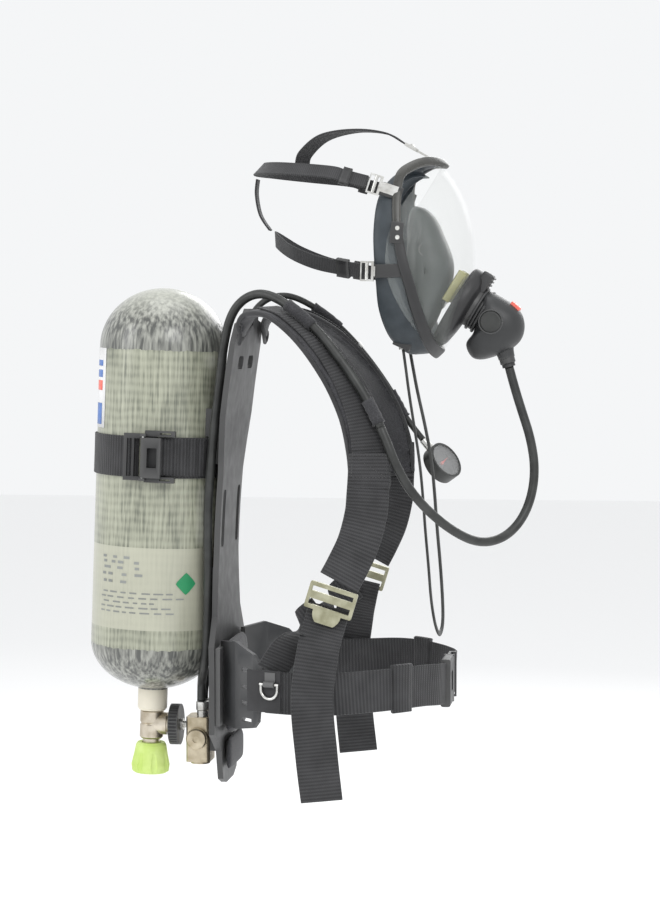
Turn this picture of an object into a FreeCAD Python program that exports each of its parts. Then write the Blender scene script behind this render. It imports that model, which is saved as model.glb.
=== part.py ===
# Self-contained breathing apparatus: cylinder, pressure reducer, carrying frame with
# harness, full face mask and demand valve. Millimetres.
# Origin: centre of the flat front face of the lumbar pad, where the set rests on the wearer.
# +X is forward (the way the wearer faces), +Y is the wearer's left, +Z is up.
import FreeCAD, Part
import math
import os

V = FreeCAD.Vector

# ---- driving dimensions ----------------------------------------------------
cylinder_radius = 79.0
cylinder_length = 500.0         # over the two domes
cylinder_wall = 7.0
cylinder_lean = 2.06            # degrees, top towards the wearer
cylinder_gap = 12.0             # between the plate's back and the cylinder's front, low down
bottom_dome = 60.0
top_dome = 74.0
neck_radius = 18.5
neck_length = 27.0

valve_radius = 14.8
valve_length = 36.0
outlet_radius = 11.0
outlet_reach = 29.0             # from the valve's axis to the end of its outlet
spindle_radius = 4.5
gland_radius = 11.0
gland_length = 11.0
handwheel_radius = 24.0
handwheel_height = 38.0

wheel_radius = 25.5
wheel_thick = 12.0
inlet_radius = 4.3
inlet_gap = 10.0                # from the coupling wheel to the reducer's body
reducer_width = 30.0
reducer_depth = 40.0
reducer_height = 56.0
piston_radius = 10.0
piston_travel = 2.0
running_gap = 0.05              # radial clearance of a shaft or piston
nose_gap = 0.4                  # round the reducer's nose, which a seal ring takes up

plate_thick = 7.0
plate_half = 92.0               # half width at the shoulders
plate_waist = 66.0
plate_hip = 104.0
pad_thick = 12.0                # lumbar pad
web_width = 50.0
web_thick = 2.4
pad_width = 62.0                # shoulder pad
shoulder_pad_thick = 11.0
hose_radius = 5.5
gauge_hose_radius = 4.0
sleeve_wall = 2.0
soft_gap = 0.4                  # between soft pieces that lie on each other

buckle_thick = 5.0
belt_height = 16.0              # height of the belt's centre line
belt_front = 258.0              # how far forward the belt's buckle lies

visor_centre = V(190, 0, 530)
visor_x = 100.0                 # half axes of the visor's dome
visor_y = 88.0
visor_z = 140.0
visor_thick = 2.6
head_x = 151.0                  # axis of the upright cylinder that the mask's edge follows
head_radius = 96.0
frame_band = 12.0
frame_thick = 5.0
seal_depth = 22.0

port_centre = V(281, 0, 477)    # middle of the demand valve's socket
port_drop = 30.0                # degrees below level
port_radius = 33.0
port_bore = 21.0

harness_width = 19.0
harness_thick = 2.0
gauge_radius = 25.0
gauge_depth = 17.0
strap_cord_radius = 3.5         # the mask's neck strap

os.makedirs("parts", exist_ok=True)


# ---- small tools -----------------------------------------------------------
def save(name, shape):
    shape.exportStep("parts/" + name + ".step")


def block(x0, x1, y0, y1, z0, z1):
    return Part.makeBox(x1 - x0, y1 - y0, z1 - z0, V(x0, y0, z0))


def rod(radius, start, end):
    return Part.makeCylinder(radius, (end - start).Length, start, end - start)


def pipe(outer, inner, start, end):
    return rod(outer, start, end).cut(rod(inner, start, end))


def group(shapes):
    return Part.makeCompound(shapes)


def mirrored(shape):
    return shape.mirror(V(0, 0, 0), V(0, 1, 0))


def save_pair(name, right):
    """Two nodes, one each side of the wearer."""
    save(name + "_right", right)
    save(name + "_left", mirrored(right))


def both(right):
    """The right piece and its mirror image."""
    return [right, mirrored(right)]


def revolved(outline):
    """A closed outline of (radius, height) points, turned about Z."""
    points = [V(r, 0, z) for r, z in outline]
    face = Part.Face(Part.makePolygon(points + points[:1]))
    return face.revolve(V(0, 0, 0), V(0, 0, 1), 360)


def ellipsoid(centre, rx, ry, rz):
    ball = Part.makeSphere(100)
    stretch = FreeCAD.Matrix()
    stretch.scale(rx / 100, ry / 100, rz / 100)
    shape = ball.transformGeometry(stretch)
    shape.translate(centre)
    return shape


def pod(centre, radius, half_height, flat):
    """A domed body of revolution about an upright axis, flat for a small disc at each end."""
    def at(r, z):
        return V(r, 0, z)
    bulge_r = flat + (radius - flat) * 0.73
    bulge_z = half_height * 0.62
    edges = [Part.LineSegment(at(0, -half_height), at(flat, -half_height)).toShape(),
             Part.Arc(at(flat, -half_height), at(bulge_r, -bulge_z), at(radius, 0)).toShape(),
             Part.Arc(at(radius, 0), at(bulge_r, bulge_z), at(flat, half_height)).toShape(),
             Part.LineSegment(at(flat, half_height), at(0, half_height)).toShape(),
             Part.LineSegment(at(0, half_height), at(0, -half_height)).toShape()]
    shape = Part.Face(Part.Wire(edges)).revolve(V(0, 0, 0), V(0, 0, 1), 360)
    shape.translate(centre)
    return shape


def curve_through(points, closed=False):
    curve = Part.BSplineCurve()
    if closed:
        curve.interpolate(points, PeriodicFlag=True)
    else:
        curve.interpolate(points)
    return curve


def ribbon(points, sides, width, thick, steps=24):
    """A strap along a curve; sides are the directions across it at the same points."""
    marks = [0.0]
    for before, after in zip(points, points[1:]):
        marks.append(marks[-1] + (after - before).Length)
    path = Part.BSplineCurve()
    path.interpolate(Points=points, Parameters=marks)
    wires = []
    for i in range(steps + 1):
        share = i / steps
        at = share * marks[-1]
        k = max(j for j in range(len(marks) - 1) if marks[j] <= at + 1e-9)
        mix = (at - marks[k]) / (marks[k + 1] - marks[k])
        centre = path.value(at)
        along = path.tangent(at)[0]
        side = V(sides[k]).normalize() * (1 - mix) + V(sides[k + 1]).normalize() * mix
        side = side - along * side.dot(along)
        side.normalize()
        face = along.cross(side)
        wide = width(share) if callable(width) else width
        deep = thick(share) if callable(thick) else thick
        corner = [centre + side * (a * wide / 2) + face * (b * deep / 2)
                  for a, b in ((1, 1), (-1, 1), (-1, -1), (1, -1))]
        wires.append(Part.makePolygon(corner + corner[:1]))
    return Part.makeLoft(wires, True, True)


def tube_along(name, points, radius):
    """A round tube: straight runs joined by tangent arcs as large as the runs allow."""
    edges = []
    last = points[0]
    smallest = None
    for i in range(1, len(points) - 1):
        before = points[i - 1] - points[i]
        after = points[i + 1] - points[i]
        turn = math.pi - before.getAngle(after)
        cut = 0.45 * min(before.Length, after.Length)
        bend = cut / math.tan(turn / 2)
        smallest = bend if smallest is None else min(smallest, bend)
        start = points[i] + V(before).normalize() * cut
        end = points[i] + V(after).normalize() * cut
        inward = (V(before).normalize() + V(after).normalize()).normalize()
        middle = points[i] + inward * (bend / math.cos(turn / 2) - bend)
        edges.append(Part.LineSegment(last, start).toShape())
        edges.append(Part.Arc(start, middle, end).toShape())
        last = end
    edges.append(Part.LineSegment(last, points[-1]).toShape())
    wire = Part.Wire(edges)
    length = wire.Length
    direction = points[1] - points[0]
    disc = Part.Wire(Part.makeCircle(radius, points[0], direction))
    solid = wire.makePipeShell([disc], True, False)
    share = solid.Volume / (math.pi * radius ** 2 * length)
    print("%s: length %.0f, smallest bend %.0f, volume share %.3f" % (name, length, smallest, share))
    return solid


def ring_of_loops(loops):
    """A solid ring whose section's corners follow the given closed loops, in order."""
    edges = [curve_through(loop, closed=True).toShape() for loop in loops]
    faces = []
    for i in range(len(edges)):
        surface = Part.makeRuledSurface(edges[i], edges[(i + 1) % len(edges)])
        faces.extend(surface.Faces)
    shell = Part.makeShell(faces)
    shell.sewShape()
    solid = Part.makeSolid(shell)
    if solid.Volume < 0:
        solid.reverse()
    return solid


# ---- cylinder and its valve, drawn upright and then leaned -----------------
plate_back = -(pad_thick + plate_thick + 3.0)
axis_foot = V(plate_back - cylinder_gap - cylinder_radius, 0, -4)


def leaned(shape):
    """Moves a shape drawn about the cylinder's own axis to its place on the plate."""
    moved = shape.copy()
    moved.rotate(V(0, 0, 0), V(0, 1, 0), cylinder_lean)
    moved.translate(axis_foot)
    return moved


def axis_point(height, out=0.0, side=0.0):
    lean = math.radians(cylinder_lean)
    return axis_foot + V(height * math.sin(lean) + out * math.cos(lean), side,
                         height * math.cos(lean) - out * math.sin(lean))


def dome_points(radius, rise, top, start_radius):
    """Quarter of an ellipse, from its end at start_radius out to the full radius."""
    first = math.asin(start_radius / radius)
    points = []
    for i in range(9):
        angle = first + (math.pi / 2 - first) * i / 8
        height = rise * (1 - math.cos(angle))
        points.append(V(radius * math.sin(angle), 0, top - height if top else height))
    return points


def bottle(radius, low, high, rise_low, rise_high, hole):
    lower = [p + V(0, 0, low) for p in dome_points(radius, rise_low, 0, hole)]
    upper = dome_points(radius, rise_high, high, 0.0)
    mouth = V(hole, 0, low)
    edges = [Part.LineSegment(V(0, 0, low), mouth).toShape() if hole else None,
             Part.LineSegment(mouth, lower[0]).toShape() if (mouth - lower[0]).Length > 0.01 else None,
             curve_through(lower).toShape(),
             Part.LineSegment(lower[-1], upper[-1]).toShape(),
             curve_through(upper[::-1]).toShape(),
             Part.LineSegment(upper[0], V(0, 0, low)).toShape()]
    face = Part.Face(Part.Wire([edge for edge in edges if edge]))
    return face.revolve(V(0, 0, 0), V(0, 0, 1), 360)


def make_cylinder():
    outer = bottle(cylinder_radius, 0, cylinder_length, bottom_dome, top_dome, neck_radius)
    inner = bottle(cylinder_radius - cylinder_wall, cylinder_wall, cylinder_length - cylinder_wall,
                   bottom_dome - cylinder_wall, top_dome - cylinder_wall, neck_radius - 4)
    mouth = rod(neck_radius - 4, V(0, 0, -1), V(0, 0, cylinder_wall + 2))
    save("cylinder_shell", leaned(outer.cut(inner).cut(mouth)))
    collar = revolved([(neck_radius - 8, -neck_length), (neck_radius - 2, -neck_length),
                       (neck_radius, -neck_length + 3), (neck_radius, 0), (neck_radius - 4, 0),
                       (neck_radius - 4, cylinder_wall + 1), (neck_radius - 8, cylinder_wall + 1)])
    save("neck_collar", leaned(collar))


outlet_drop = 17.0              # from the collar's end down to the outlet's axis
valve_top = -neck_length
valve_bottom = valve_top - valve_length
gland_bottom = valve_bottom - gland_length
outlet_height = valve_top - outlet_drop


def make_cylinder_valve():
    body = revolved([(0, valve_top), (valve_radius - 2, valve_top), (valve_radius, valve_top - 2),
                     (valve_radius, valve_top - 15), (valve_radius - 1.5, valve_top - 17),
                     (valve_radius, valve_top - 19), (valve_radius, valve_bottom + 2),
                     (valve_radius - 2, valve_bottom), (0, valve_bottom)])
    thread = rod(neck_radius - 8, V(0, 0, valve_top), V(0, 0, cylinder_wall))
    outlet = rod(outlet_radius, V(0, 0, outlet_height), V(outlet_reach, 0, outlet_height))
    shoulder = rod(outlet_radius + 3, V(0, 0, outlet_height), V(outlet_reach - 9, 0, outlet_height))
    passage = rod(3, V(0, 0, outlet_height), V(outlet_reach + 1, 0, outlet_height))
    riser = rod(3, V(0, 0, outlet_height - 2), V(0, 0, cylinder_wall + 1))
    seat = rod(spindle_radius + running_gap, V(0, 0, valve_bottom - 1), V(0, 0, outlet_height - 6))
    nose_hole = rod(inlet_radius + nose_gap, V(outlet_reach - 12, 0, outlet_height),
                    V(outlet_reach + 1, 0, outlet_height))
    solid = body.fuse([thread, outlet, shoulder])
    save("valve_body", leaned(solid.cut([passage, riser, seat, nose_hole])))
    gland = revolved([(spindle_radius + running_gap, gland_bottom), (gland_radius - 1.5, gland_bottom),
                      (gland_radius, gland_bottom + 1.5), (gland_radius, valve_bottom),
                      (spindle_radius + running_gap, valve_bottom)])
    save("gland_nut", leaned(gland))
    wheel_top = gland_bottom + 6
    wheel_bottom = wheel_top - handwheel_height
    cup = revolved([(spindle_radius, wheel_bottom + 6), (spindle_radius, gland_bottom - 4),
                    (gland_radius + 1, gland_bottom - 4), (gland_radius + 1, wheel_top),
                    (handwheel_radius - 7, wheel_top), (handwheel_radius - 5, wheel_top - 3),
                    (handwheel_radius - 3, wheel_top - 14), (handwheel_radius, wheel_bottom + 10),
                    (handwheel_radius - 1, wheel_bottom + 2), (handwheel_radius - 4, wheel_bottom),
                    (0, wheel_bottom), (0, wheel_bottom + 6)])
    grips = []
    for i in range(8):
        angle = math.radians(45 * i + 22.5)
        x = (handwheel_radius + 3) * math.cos(angle)
        y = (handwheel_radius + 3) * math.sin(angle)
        grips.append(rod(5, V(x, y, wheel_bottom - 1), V(x * 0.93, y * 0.93, wheel_top - 12)))
    save("handwheel", leaned(cup.cut(grips)))
    save("valve_spindle", leaned(rod(spindle_radius, V(0, 0, wheel_bottom + 6), V(0, 0, outlet_height - 8))))


# ---- pressure reducer under the plate --------------------------------------
outlet_end = axis_point(outlet_height, outlet_reach)
reducer_left_x = outlet_end.x + wheel_thick - 4 + inlet_gap
reducer_top = outlet_end.z + 12
reducer_mid = reducer_left_x + reducer_width / 2
reducer_bottom = reducer_top - reducer_height
hose_start_side = 11.0          # the two hose unions stand this far each side of the middle
hose_start_x = reducer_mid + 5
union_top = reducer_top + 20


def make_reducer():
    # knurled coupling wheel with the plain nose that runs in the cylinder valve
    def across(x, height=0.0):
        return V(outlet_end.x + x, 0, outlet_end.z + height)
    wheel = rod(wheel_radius, across(-4), across(wheel_thick - 4))
    wheel = wheel.cut(rod(outlet_radius + 0.4, across(-5), across(1)))
    wheel = wheel.cut(rod(inlet_radius + running_gap, across(-5), across(wheel_thick)))
    notches = []
    for i in range(36):
        angle = math.radians(10 * i)
        y = (wheel_radius + 0.6) * math.cos(angle)
        z = (wheel_radius + 0.6) * math.sin(angle)
        notches.append(rod(1.3, V(outlet_end.x - 2, y, outlet_end.z + z),
                           V(outlet_end.x + wheel_thick - 6, y, outlet_end.z + z)))
    save("coupling_wheel", wheel.cut(notches))
    stem = rod(inlet_radius, across(-6), across(wheel_thick - 4 + inlet_gap + 3))
    collar = rod(inlet_radius + 3, across(wheel_thick - 3.6), across(wheel_thick - 0.5))
    save("inlet_stem", stem.fuse(collar).cut(rod(1.5, across(-7), across(40))))
    half = reducer_depth / 2
    body = block(reducer_left_x, reducer_left_x + reducer_width, -half, half, reducer_bottom, reducer_top)
    body = body.makeFillet(5, [e for e in body.Edges if abs(e.tangentAt(0).z) > 0.9])
    boss = rod(13.5, V(reducer_mid, -half - 6, reducer_top - 26), V(reducer_mid, 0, reducer_top - 26))
    bore = rod(piston_radius + running_gap, V(reducer_mid, 0, reducer_bottom - 1),
               V(reducer_mid, 0, reducer_top - 14))
    passage = rod(2, V(reducer_mid, 0, reducer_top - 15), V(reducer_mid, 0, outlet_end.z - 1))
    entry = rod(inlet_radius, V(reducer_left_x - 1, 0, outlet_end.z), V(reducer_left_x + 3, 0, outlet_end.z))
    entry_hole = rod(1.5, V(reducer_left_x, 0, outlet_end.z), V(reducer_mid, 0, outlet_end.z))
    save("reducer_body", body.fuse(boss).cut([bore, passage, entry, entry_hole]))
    cap = revolved([(0, 0), (13, 0), (13, 2), (11.5, 4), (4, 5), (4, 3.5), (0, 3.5)])
    cap.rotate(V(0, 0, 0), V(1, 0, 0), 90)
    cap.translate(V(reducer_mid, -half - 6, reducer_top - 26))
    crown = reducer_top - 14 - piston_travel - 1
    piston = rod(piston_radius, V(reducer_mid, 0, crown - 8), V(reducer_mid, 0, crown))
    tail = rod(3, V(reducer_mid, 0, crown - 16), V(reducer_mid, 0, crown - 8))
    save("reducer_piston", piston.fuse(tail))
    plug_top = reducer_bottom + 6
    helix = Part.makeHelix(5, crown - 9.2 - plug_top - 1.2, 7)
    wire_disc = Part.Wire(Part.makeCircle(0.9, V(7, 0, 0), V(0, 1, 0)))
    spring = Part.Wire(helix).makePipeShell([wire_disc], True, True)
    spring.translate(V(reducer_mid, 0, plug_top + 1.1))
    save("reducer_spring", spring)
    plug = rod(piston_radius, V(reducer_mid, 0, reducer_bottom), V(reducer_mid, 0, plug_top))
    plug = plug.fuse(rod(12, V(reducer_mid, 0, reducer_bottom - 4), V(reducer_mid, 0, reducer_bottom)))
    save("reducer_caps", group([cap, plug]))
    relief = revolved([(0, 0), (5, 0), (5, 9), (3.5, 11), (0, 11)])
    relief.rotate(V(0, 0, 0), V(1, 0, 0), -90)
    relief.translate(V(reducer_mid, half, reducer_top - 30))
    save("relief_valve", relief)
    unions = [rod(gauge_hose_radius + 1.5, gauge_hook, gauge_hook + gauge_down * 14)]
    for sign, radius in ((-1, hose_radius), (1, gauge_hose_radius)):
        union = revolved([(0, 0), (radius + 1.5, 0), (radius + 1.5, 8), (radius + 2.6, 9),
                          (radius + 2.6, 19), (radius + 1, 20), (0, 20)])
        union.translate(V(hose_start_x, sign * hose_start_side, reducer_top))
        unions.append(union)
    save("hose_unions", group(unions))
    bracket = block(reducer_left_x + reducer_width, plate_x(reducer_top - 20) - plate_thick / 2,
                    -16, 16, reducer_top - 42, reducer_top - 14)
    save("reducer_bracket", bracket.cut(plate_slab(240)))


# ---- carrying plate --------------------------------------------------------
# side view of the plate's middle surface: (x, z)
plate_curve = [(-18.5, -116), (-18.5, -40), (-18.5, 40), (-19.5, 150), (-14, 262), (-4, 360), (13, 472)]


def plate_x(height):
    """Middle of the plate's thickness at a height."""
    curve = curve_through([V(x, 0, z) for x, z in plate_curve])
    low, high = curve.FirstParameter, curve.LastParameter
    for _ in range(40):
        middle = (low + high) / 2
        if curve.value(middle).z < height:
            low = middle
        else:
            high = middle
    return curve.value(low).x


def plate_slab(width, extra=0.0):
    """The plate's curved thickness, as wide as asked."""
    half = plate_thick / 2 + extra
    back = [V(x - half, -width / 2, z) for x, z in plate_curve]
    front = [V(x + half, -width / 2, z) for x, z in plate_curve]
    edges = [curve_through(back).toShape(), Part.LineSegment(back[-1], front[-1]).toShape(),
             curve_through(front[::-1]).toShape(), Part.LineSegment(front[0], back[0]).toShape()]
    return Part.Face(Part.Wire(edges)).extrude(V(0, width, 0))


def make_plate():
    right = [(24, -116), (46, -108), (60, -70), (plate_hip, -44), (plate_hip, 62), (78, 96), (plate_waist, 170),
             (plate_waist + 2, 270), (plate_half, 340), (plate_half, 428), (80, 452), (46, 456), (32, 470)]
    outline = [V(-60, y, z) for y, z in right] + [V(-60, -y, z) for y, z in right[::-1]]
    prism = Part.Face(Part.makePolygon(outline + outline[:1])).extrude(V(120, 0, 0))
    plate = plate_slab(240).common(prism)
    holes = []
    for sign in (-1, 1):
        for y, z, wide, tall in ((48, 214, 18, 70), (34, 404, 34, 16)):
            hole = block(-60, 60, -wide / 2, wide / 2, -tall / 2, tall / 2)
            hole = hole.makeFillet(6, [e for e in hole.Edges if abs(e.tangentAt(0).x) > 0.9])
            hole.translate(V(0, sign * y, z))
            holes.append(hole)
    save("back_plate", plate.cut(holes))


strap_height = 294.0            # of the cylinder strap, along the cylinder
saddle_height = 314.0           # of the upper saddle's middle


def make_cradle():
    """Two saddles that carry the cylinder on the plate."""
    ring_gap = 0.4 + web_thick + soft_gap
    space = leaned(rod(cylinder_radius + 0.3, V(0, 0, -60), V(0, 0, cylinder_length + 60)))
    strap_room = leaned(rod(cylinder_radius + ring_gap + 0.6, V(0, 0, strap_height - web_width / 2 - 1.5),
                            V(0, 0, strap_height + web_width / 2 + 1.5)))
    saddles = []
    for middle, half, wide in ((saddle_height, 34, 46), (132, 20, 38)):
        raw = block(-75, 40, -wide, wide, middle - half, middle + half)
        raw = raw.cut(plate_slab(240)).cut(space).cut(strap_room)
        behind = [s for s in raw.Solids if s.CenterOfMass.x < plate_x(middle)]
        saddles.append(max(behind, key=lambda s: s.Volume))
    save("cylinder_saddles", group(saddles))


def make_cylinder_strap():
    low = strap_height - web_width / 2
    high = strap_height + web_width / 2
    inner = cylinder_radius + soft_gap
    band = pipe(inner + web_thick, inner, V(0, 0, low), V(0, 0, high))
    gap = block(-10, 10, -cylinder_radius * 1.3, 0, low - 1, high + 1)
    save("cylinder_strap", leaned(band.cut(gap)))
    # buckle over the gap on the wearer's right, facing away from the cylinder
    face = -(inner + web_thick + 1.5)
    frame = block(-27, -1, face - 6, face, low - 3, high + 4)
    frame = frame.cut(block(-23, -17, face - 7, face + 1, low + 2, high - 2))
    frame = frame.cut(block(-14, -6, face - 7, face + 1, low + 2, high - 2))
    root = block(-1, 13, face - 2, face, low - 3, high + 4)
    arms = []
    for z in (low - 5, high + 1):
        arm = block(-1, 36, face - 6, face + 2, z, z + 7)
        arm = arm.cut(block(18, 31, face - 7, face + 3, z + 2.4, z + 4.6))
        arms.append(arm)
    buckle = frame.fuse([root] + arms)
    pin_at = V(-2.6, face - 9.4, 0)
    ears = []
    for z in (low - 3, high + 1):
        ears.append(block(-6, 1, face - 12, face - 5.5, z, z + 3))
    pin_hole = rod(1.5, V(pin_at.x, pin_at.y, low - 4), V(pin_at.x, pin_at.y, high + 5))
    save("strap_buckle", leaned(buckle.fuse(ears).cut(pin_hole)))
    save("cam_pin", leaned(rod(1.5, V(pin_at.x, pin_at.y, low - 3), V(pin_at.x, pin_at.y, high + 4))))
    lever = block(-5, 20, face - 11.9, face - 6.9, low + 0.6, high - 0.6)
    lever = lever.makeFillet(1.5, [e for e in lever.Edges if abs(e.tangentAt(0).z) > 0.9])
    lever = lever.cut(block(3, 15, face - 12, face - 5, strap_height - 12, strap_height + 12))
    lever = lever.cut(rod(1.5 + running_gap, V(pin_at.x, pin_at.y, low - 4), V(pin_at.x, pin_at.y, high + 5)))
    save("cam_lever", leaned(lever))


def make_pads():
    front = block(-pad_thick, 0, -62, 62, -54, 66)
    front = front.makeFillet(5, [e for e in front.Edges if abs(e.tangentAt(0).x) > 0.9])
    lower = block(-pad_thick, -4, -50, 50, -100, -55.5)
    save("lumbar_pad", group([front, lower]))
    # hip wing: a stiff fin that carries the belt round the wearer's side
    half = plate_thick / 2
    top = [V(-7.5, -66, 66), V(14, -100, 70), V(40, -126, 58), V(52, -136, 44)]
    bottom = [V(-7.5, -66, -34), V(14, -100, -36), V(40, -126, -30), V(46, -131, -22)]
    wires = []
    for i in range(4):
        back = (top[min(i + 1, 3)] - top[max(i - 1, 0)])
        out = V(back.y, -back.x, 0).normalize() * (5 if i else 7)
        wires.append(Part.makePolygon([top[i], top[i] + out, bottom[i] + out, bottom[i], top[i]]))
    wing = Part.makeLoft(wires, True, True)
    flange = block(-15 + soft_gap, -9, -100, -64, -34, 60)
    slots = []
    for z in (-22, -2, 18, 38):
        slots.append(block(20, 34, -160, -60, z - 2.5, z + 2.5))
    save("hip_wings", group(both(wing.fuse(flange).cut(slots)) + both(ring_loop())))


# ---- shoulder harness: points are for the wearer's right side --------------
pad_route = [V(17, -66, 438), V(23, -74, 456), V(39, -86, 465), V(65, -99, 461), V(103, -111, 434),
             V(138, -119, 392), V(163, -127, 345), V(175, -134, 300), V(178, -140, 258)]
pad_sides = [V(0, 1, 0), V(0, 1, 0), V(0.1, 1, 0), V(0.25, 1, 0.1), V(0.4, 0.9, 0.15), V(0.55, 0.8, 0.15),
             V(0.75, 0.66, 0.1), V(0.9, 0.4, 0), V(1, 0.2, 0)]
web_route = [V(176, -141, 252), V(174, -146, 228), V(166, -151, 196), V(154, -155, 169), V(143.5, -156.5, 149)]
web_sides = [V(1, 0.2, 0), V(1, 0.1, -0.1), V(1, 0, -0.25), V(1, 0, -0.3), V(1, 0, -0.32)]
buckle_at = V(134.4, -158, 128)
buckle_turn = 17.0              # degrees, the buckle's lean seen from the side
tail_route = [V(131, -151, 120), V(126, -154, 98), V(120, -165, 70), V(114, -172, 12), V(119, -171, -54),
              V(125, -169, -108)]
tail_sides = [V(1, 0, -0.3), V(1, 0, -0.2), V(1, 0, -0.1), V(0.9, 0.22, 0), V(1, 0.1, -0.1), V(1, 0, -0.1)]
lower_route = [V(122, -147, 114), V(102, -147, 98), V(82, -144, 74), V(67, -140, 50), V(60, -138, 40)]
lower_sides = [V(0.7, 0, 0.7), V(0.6, 0, 0.8), V(0.75, 0.1, 0.65), V(0.9, 0.2, 0.3), V(1, 0.3, 0)]


def pad_width_at(share):
    return pad_width - 14 * max(0, 2 * share - 1)


def pad_depth_at(share):
    return shoulder_pad_thick * (0.45 + 0.55 * min(1, 4 * share, 4 * (1 - share)))


def make_shoulder_harness():
    pad = ribbon(pad_route, pad_sides, pad_width_at, pad_depth_at, 28)
    save("shoulder_pads", group(both(pad)))
    save("shoulder_straps", group(both(ribbon(web_route, web_sides, web_width, web_thick))))
    tail = ribbon(tail_route, tail_sides, web_width, web_thick, 30)
    lower = ribbon(lower_route, lower_sides, web_width - 10, web_thick)
    save("pull_straps", group(both(tail) + both(lower)))
    half = web_width / 2 + 4
    low, high = -16, 16
    frame = block(-half, half, -buckle_thick / 2, buckle_thick / 2, low, high)
    frame = frame.makeFillet(2, [e for e in frame.Edges if abs(e.tangentAt(0).y) > 0.9])
    for z0, z1 in ((5, 11), (-11, -4)):
        frame = frame.cut(block(-half + 4, half - 4, -5, 5, z0, z1))
    tab = Part.makeCylinder(17, 2.2, V(0, -buckle_thick / 2, low - 1), V(0, 1, 0))
    tab = tab.common(block(-20, 20, -5, 5, low - 14, low + 0.1))
    buckle = frame.fuse(tab)
    buckle.rotate(V(0, 0, 0), V(0, 1, 0), buckle_turn)
    buckle.translate(buckle_at)
    save_pair("shoulder_buckle", buckle)


# ---- hoses -----------------------------------------------------------------
hose_up = [V(hose_start_x, -hose_start_side, union_top), V(hose_start_x, -hose_start_side, 2),
           V(-44, -30, 18), V(-36, -51, 42), V(-32, -58, 86), V(-31, -60, 160), V(-31, -61, 235),
           V(-24, -62, 310), V(-16, -64, 375), V(-10, -67, 425), V(0, -71, 464), V(19, -77, 484),
           V(44, -89, 489), V(73, -102, 476), V(112, -116, 445), V(149, -126, 400), V(179, -131, 354),
           V(190, -136, 330)]
hose_free = [V(190, -136, 330), V(198, -139.6, 312.5), V(208, -139, 287), V(222, -131, 259), V(243, -112, 231),
             V(270, -86, 205), V(299, -58, 188), V(326, -34, 191), V(347, -16, 210), V(360, -6, 240),
             V(364, -2, 276), V(358, -1, 313), V(347, 0, 346), V(337.7, 0, 375.8)]
hose_foot = V(331.5, 0, 399)    # where the free hose enters the demand valve's nut
hose_in = V(-0.259, 0, 0.966)   # the nut's direction, 15 degrees from upright


def make_hoses():
    save("hose_run_right", tube_along("hose_run_right", hose_up, hose_radius))
    save("supply_hose", tube_along("supply_hose", hose_free + [hose_foot - hose_in * soft_gap], hose_radius))
    left = [V(p.x, -p.y, p.z) for p in hose_up] + [gauge_hook]
    save("hose_run_left", tube_along("hose_run_left", left, gauge_hose_radius))
    sleeves = []
    pads = group(both(ribbon(pad_route, pad_sides, pad_width_at, pad_depth_at, 28)))
    for route, radius in ((hose_up, hose_radius), (left, gauge_hose_radius)):
        hole = tube_along("inside of sleeve", route, radius + soft_gap)
        cover = tube_along("outside of sleeve", route, radius + soft_gap + sleeve_wall).cut(hole)
        for before, after, start, end in ((13, 14, 0.1, 1.0), (15, 17, 0.42, 0.99)):
            run = route[after] - route[before]
            room = rod(24, route[before] + run * start, route[before] + run * end)
            sleeves.append(cover.common(room).cut(pads))
    save("hose_sleeves", group(sleeves))


gauge_hook = V(212, 139, 303)   # end of the gauge's hose
gauge_down = (gauge_hook - V(hose_up[-1].x, -hose_up[-1].y, hose_up[-1].z)).normalize()


def make_gauge():
    down = gauge_down
    centre = gauge_hook + down * (14.1 + gauge_radius)
    face = V(0.8, -0.45, 0.4)
    face = (face - down * face.dot(down)).normalize()
    case = rod(gauge_radius, centre - face * gauge_depth / 2, centre + face * gauge_depth / 2)
    hollow = rod(gauge_radius - 3, centre - face * (gauge_depth / 2 - 6), centre + face * (gauge_depth / 2 + 1))
    save("gauge_case", case.cut(hollow))
    dial_foot = centre - face * (gauge_depth / 2 - 6)
    save("gauge_lens", rod(gauge_radius - 3, centre + face * (gauge_depth / 2 - 2.5),
                           centre + face * (gauge_depth / 2 - 0.5)))
    side = face.cross(down).normalize()
    needle = rod(2, dial_foot + face * 0.3, dial_foot + face * 3.4)
    tip = Part.makeCone(1.1, 0.3, gauge_radius - 8, dial_foot + face * 2.5, side)
    save("gauge_needle", needle.fuse(tip))
    before = V(hose_up[14].x, -hose_up[14].y, hose_up[14].z)
    run = V(hose_up[15].x, -hose_up[15].y, hose_up[15].z) - before
    hole = gauge_hose_radius + soft_gap
    save("warning_whistle", pipe(hole + 1.5, hole, before + run * 0.44, before + run * 0.56))


# ---- waist belt ------------------------------------------------------------
belt_route = [V(54, -144.5, belt_height), V(91, -156, belt_height), V(133, -160, belt_height + 1),
              V(178, -151, belt_height + 4), V(212, -128, belt_height + 5), V(238, -93, belt_height + 4),
              V(252, -70, belt_height + 2), V(belt_front, -48, belt_height)]
male_travel = 30.0


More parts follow.
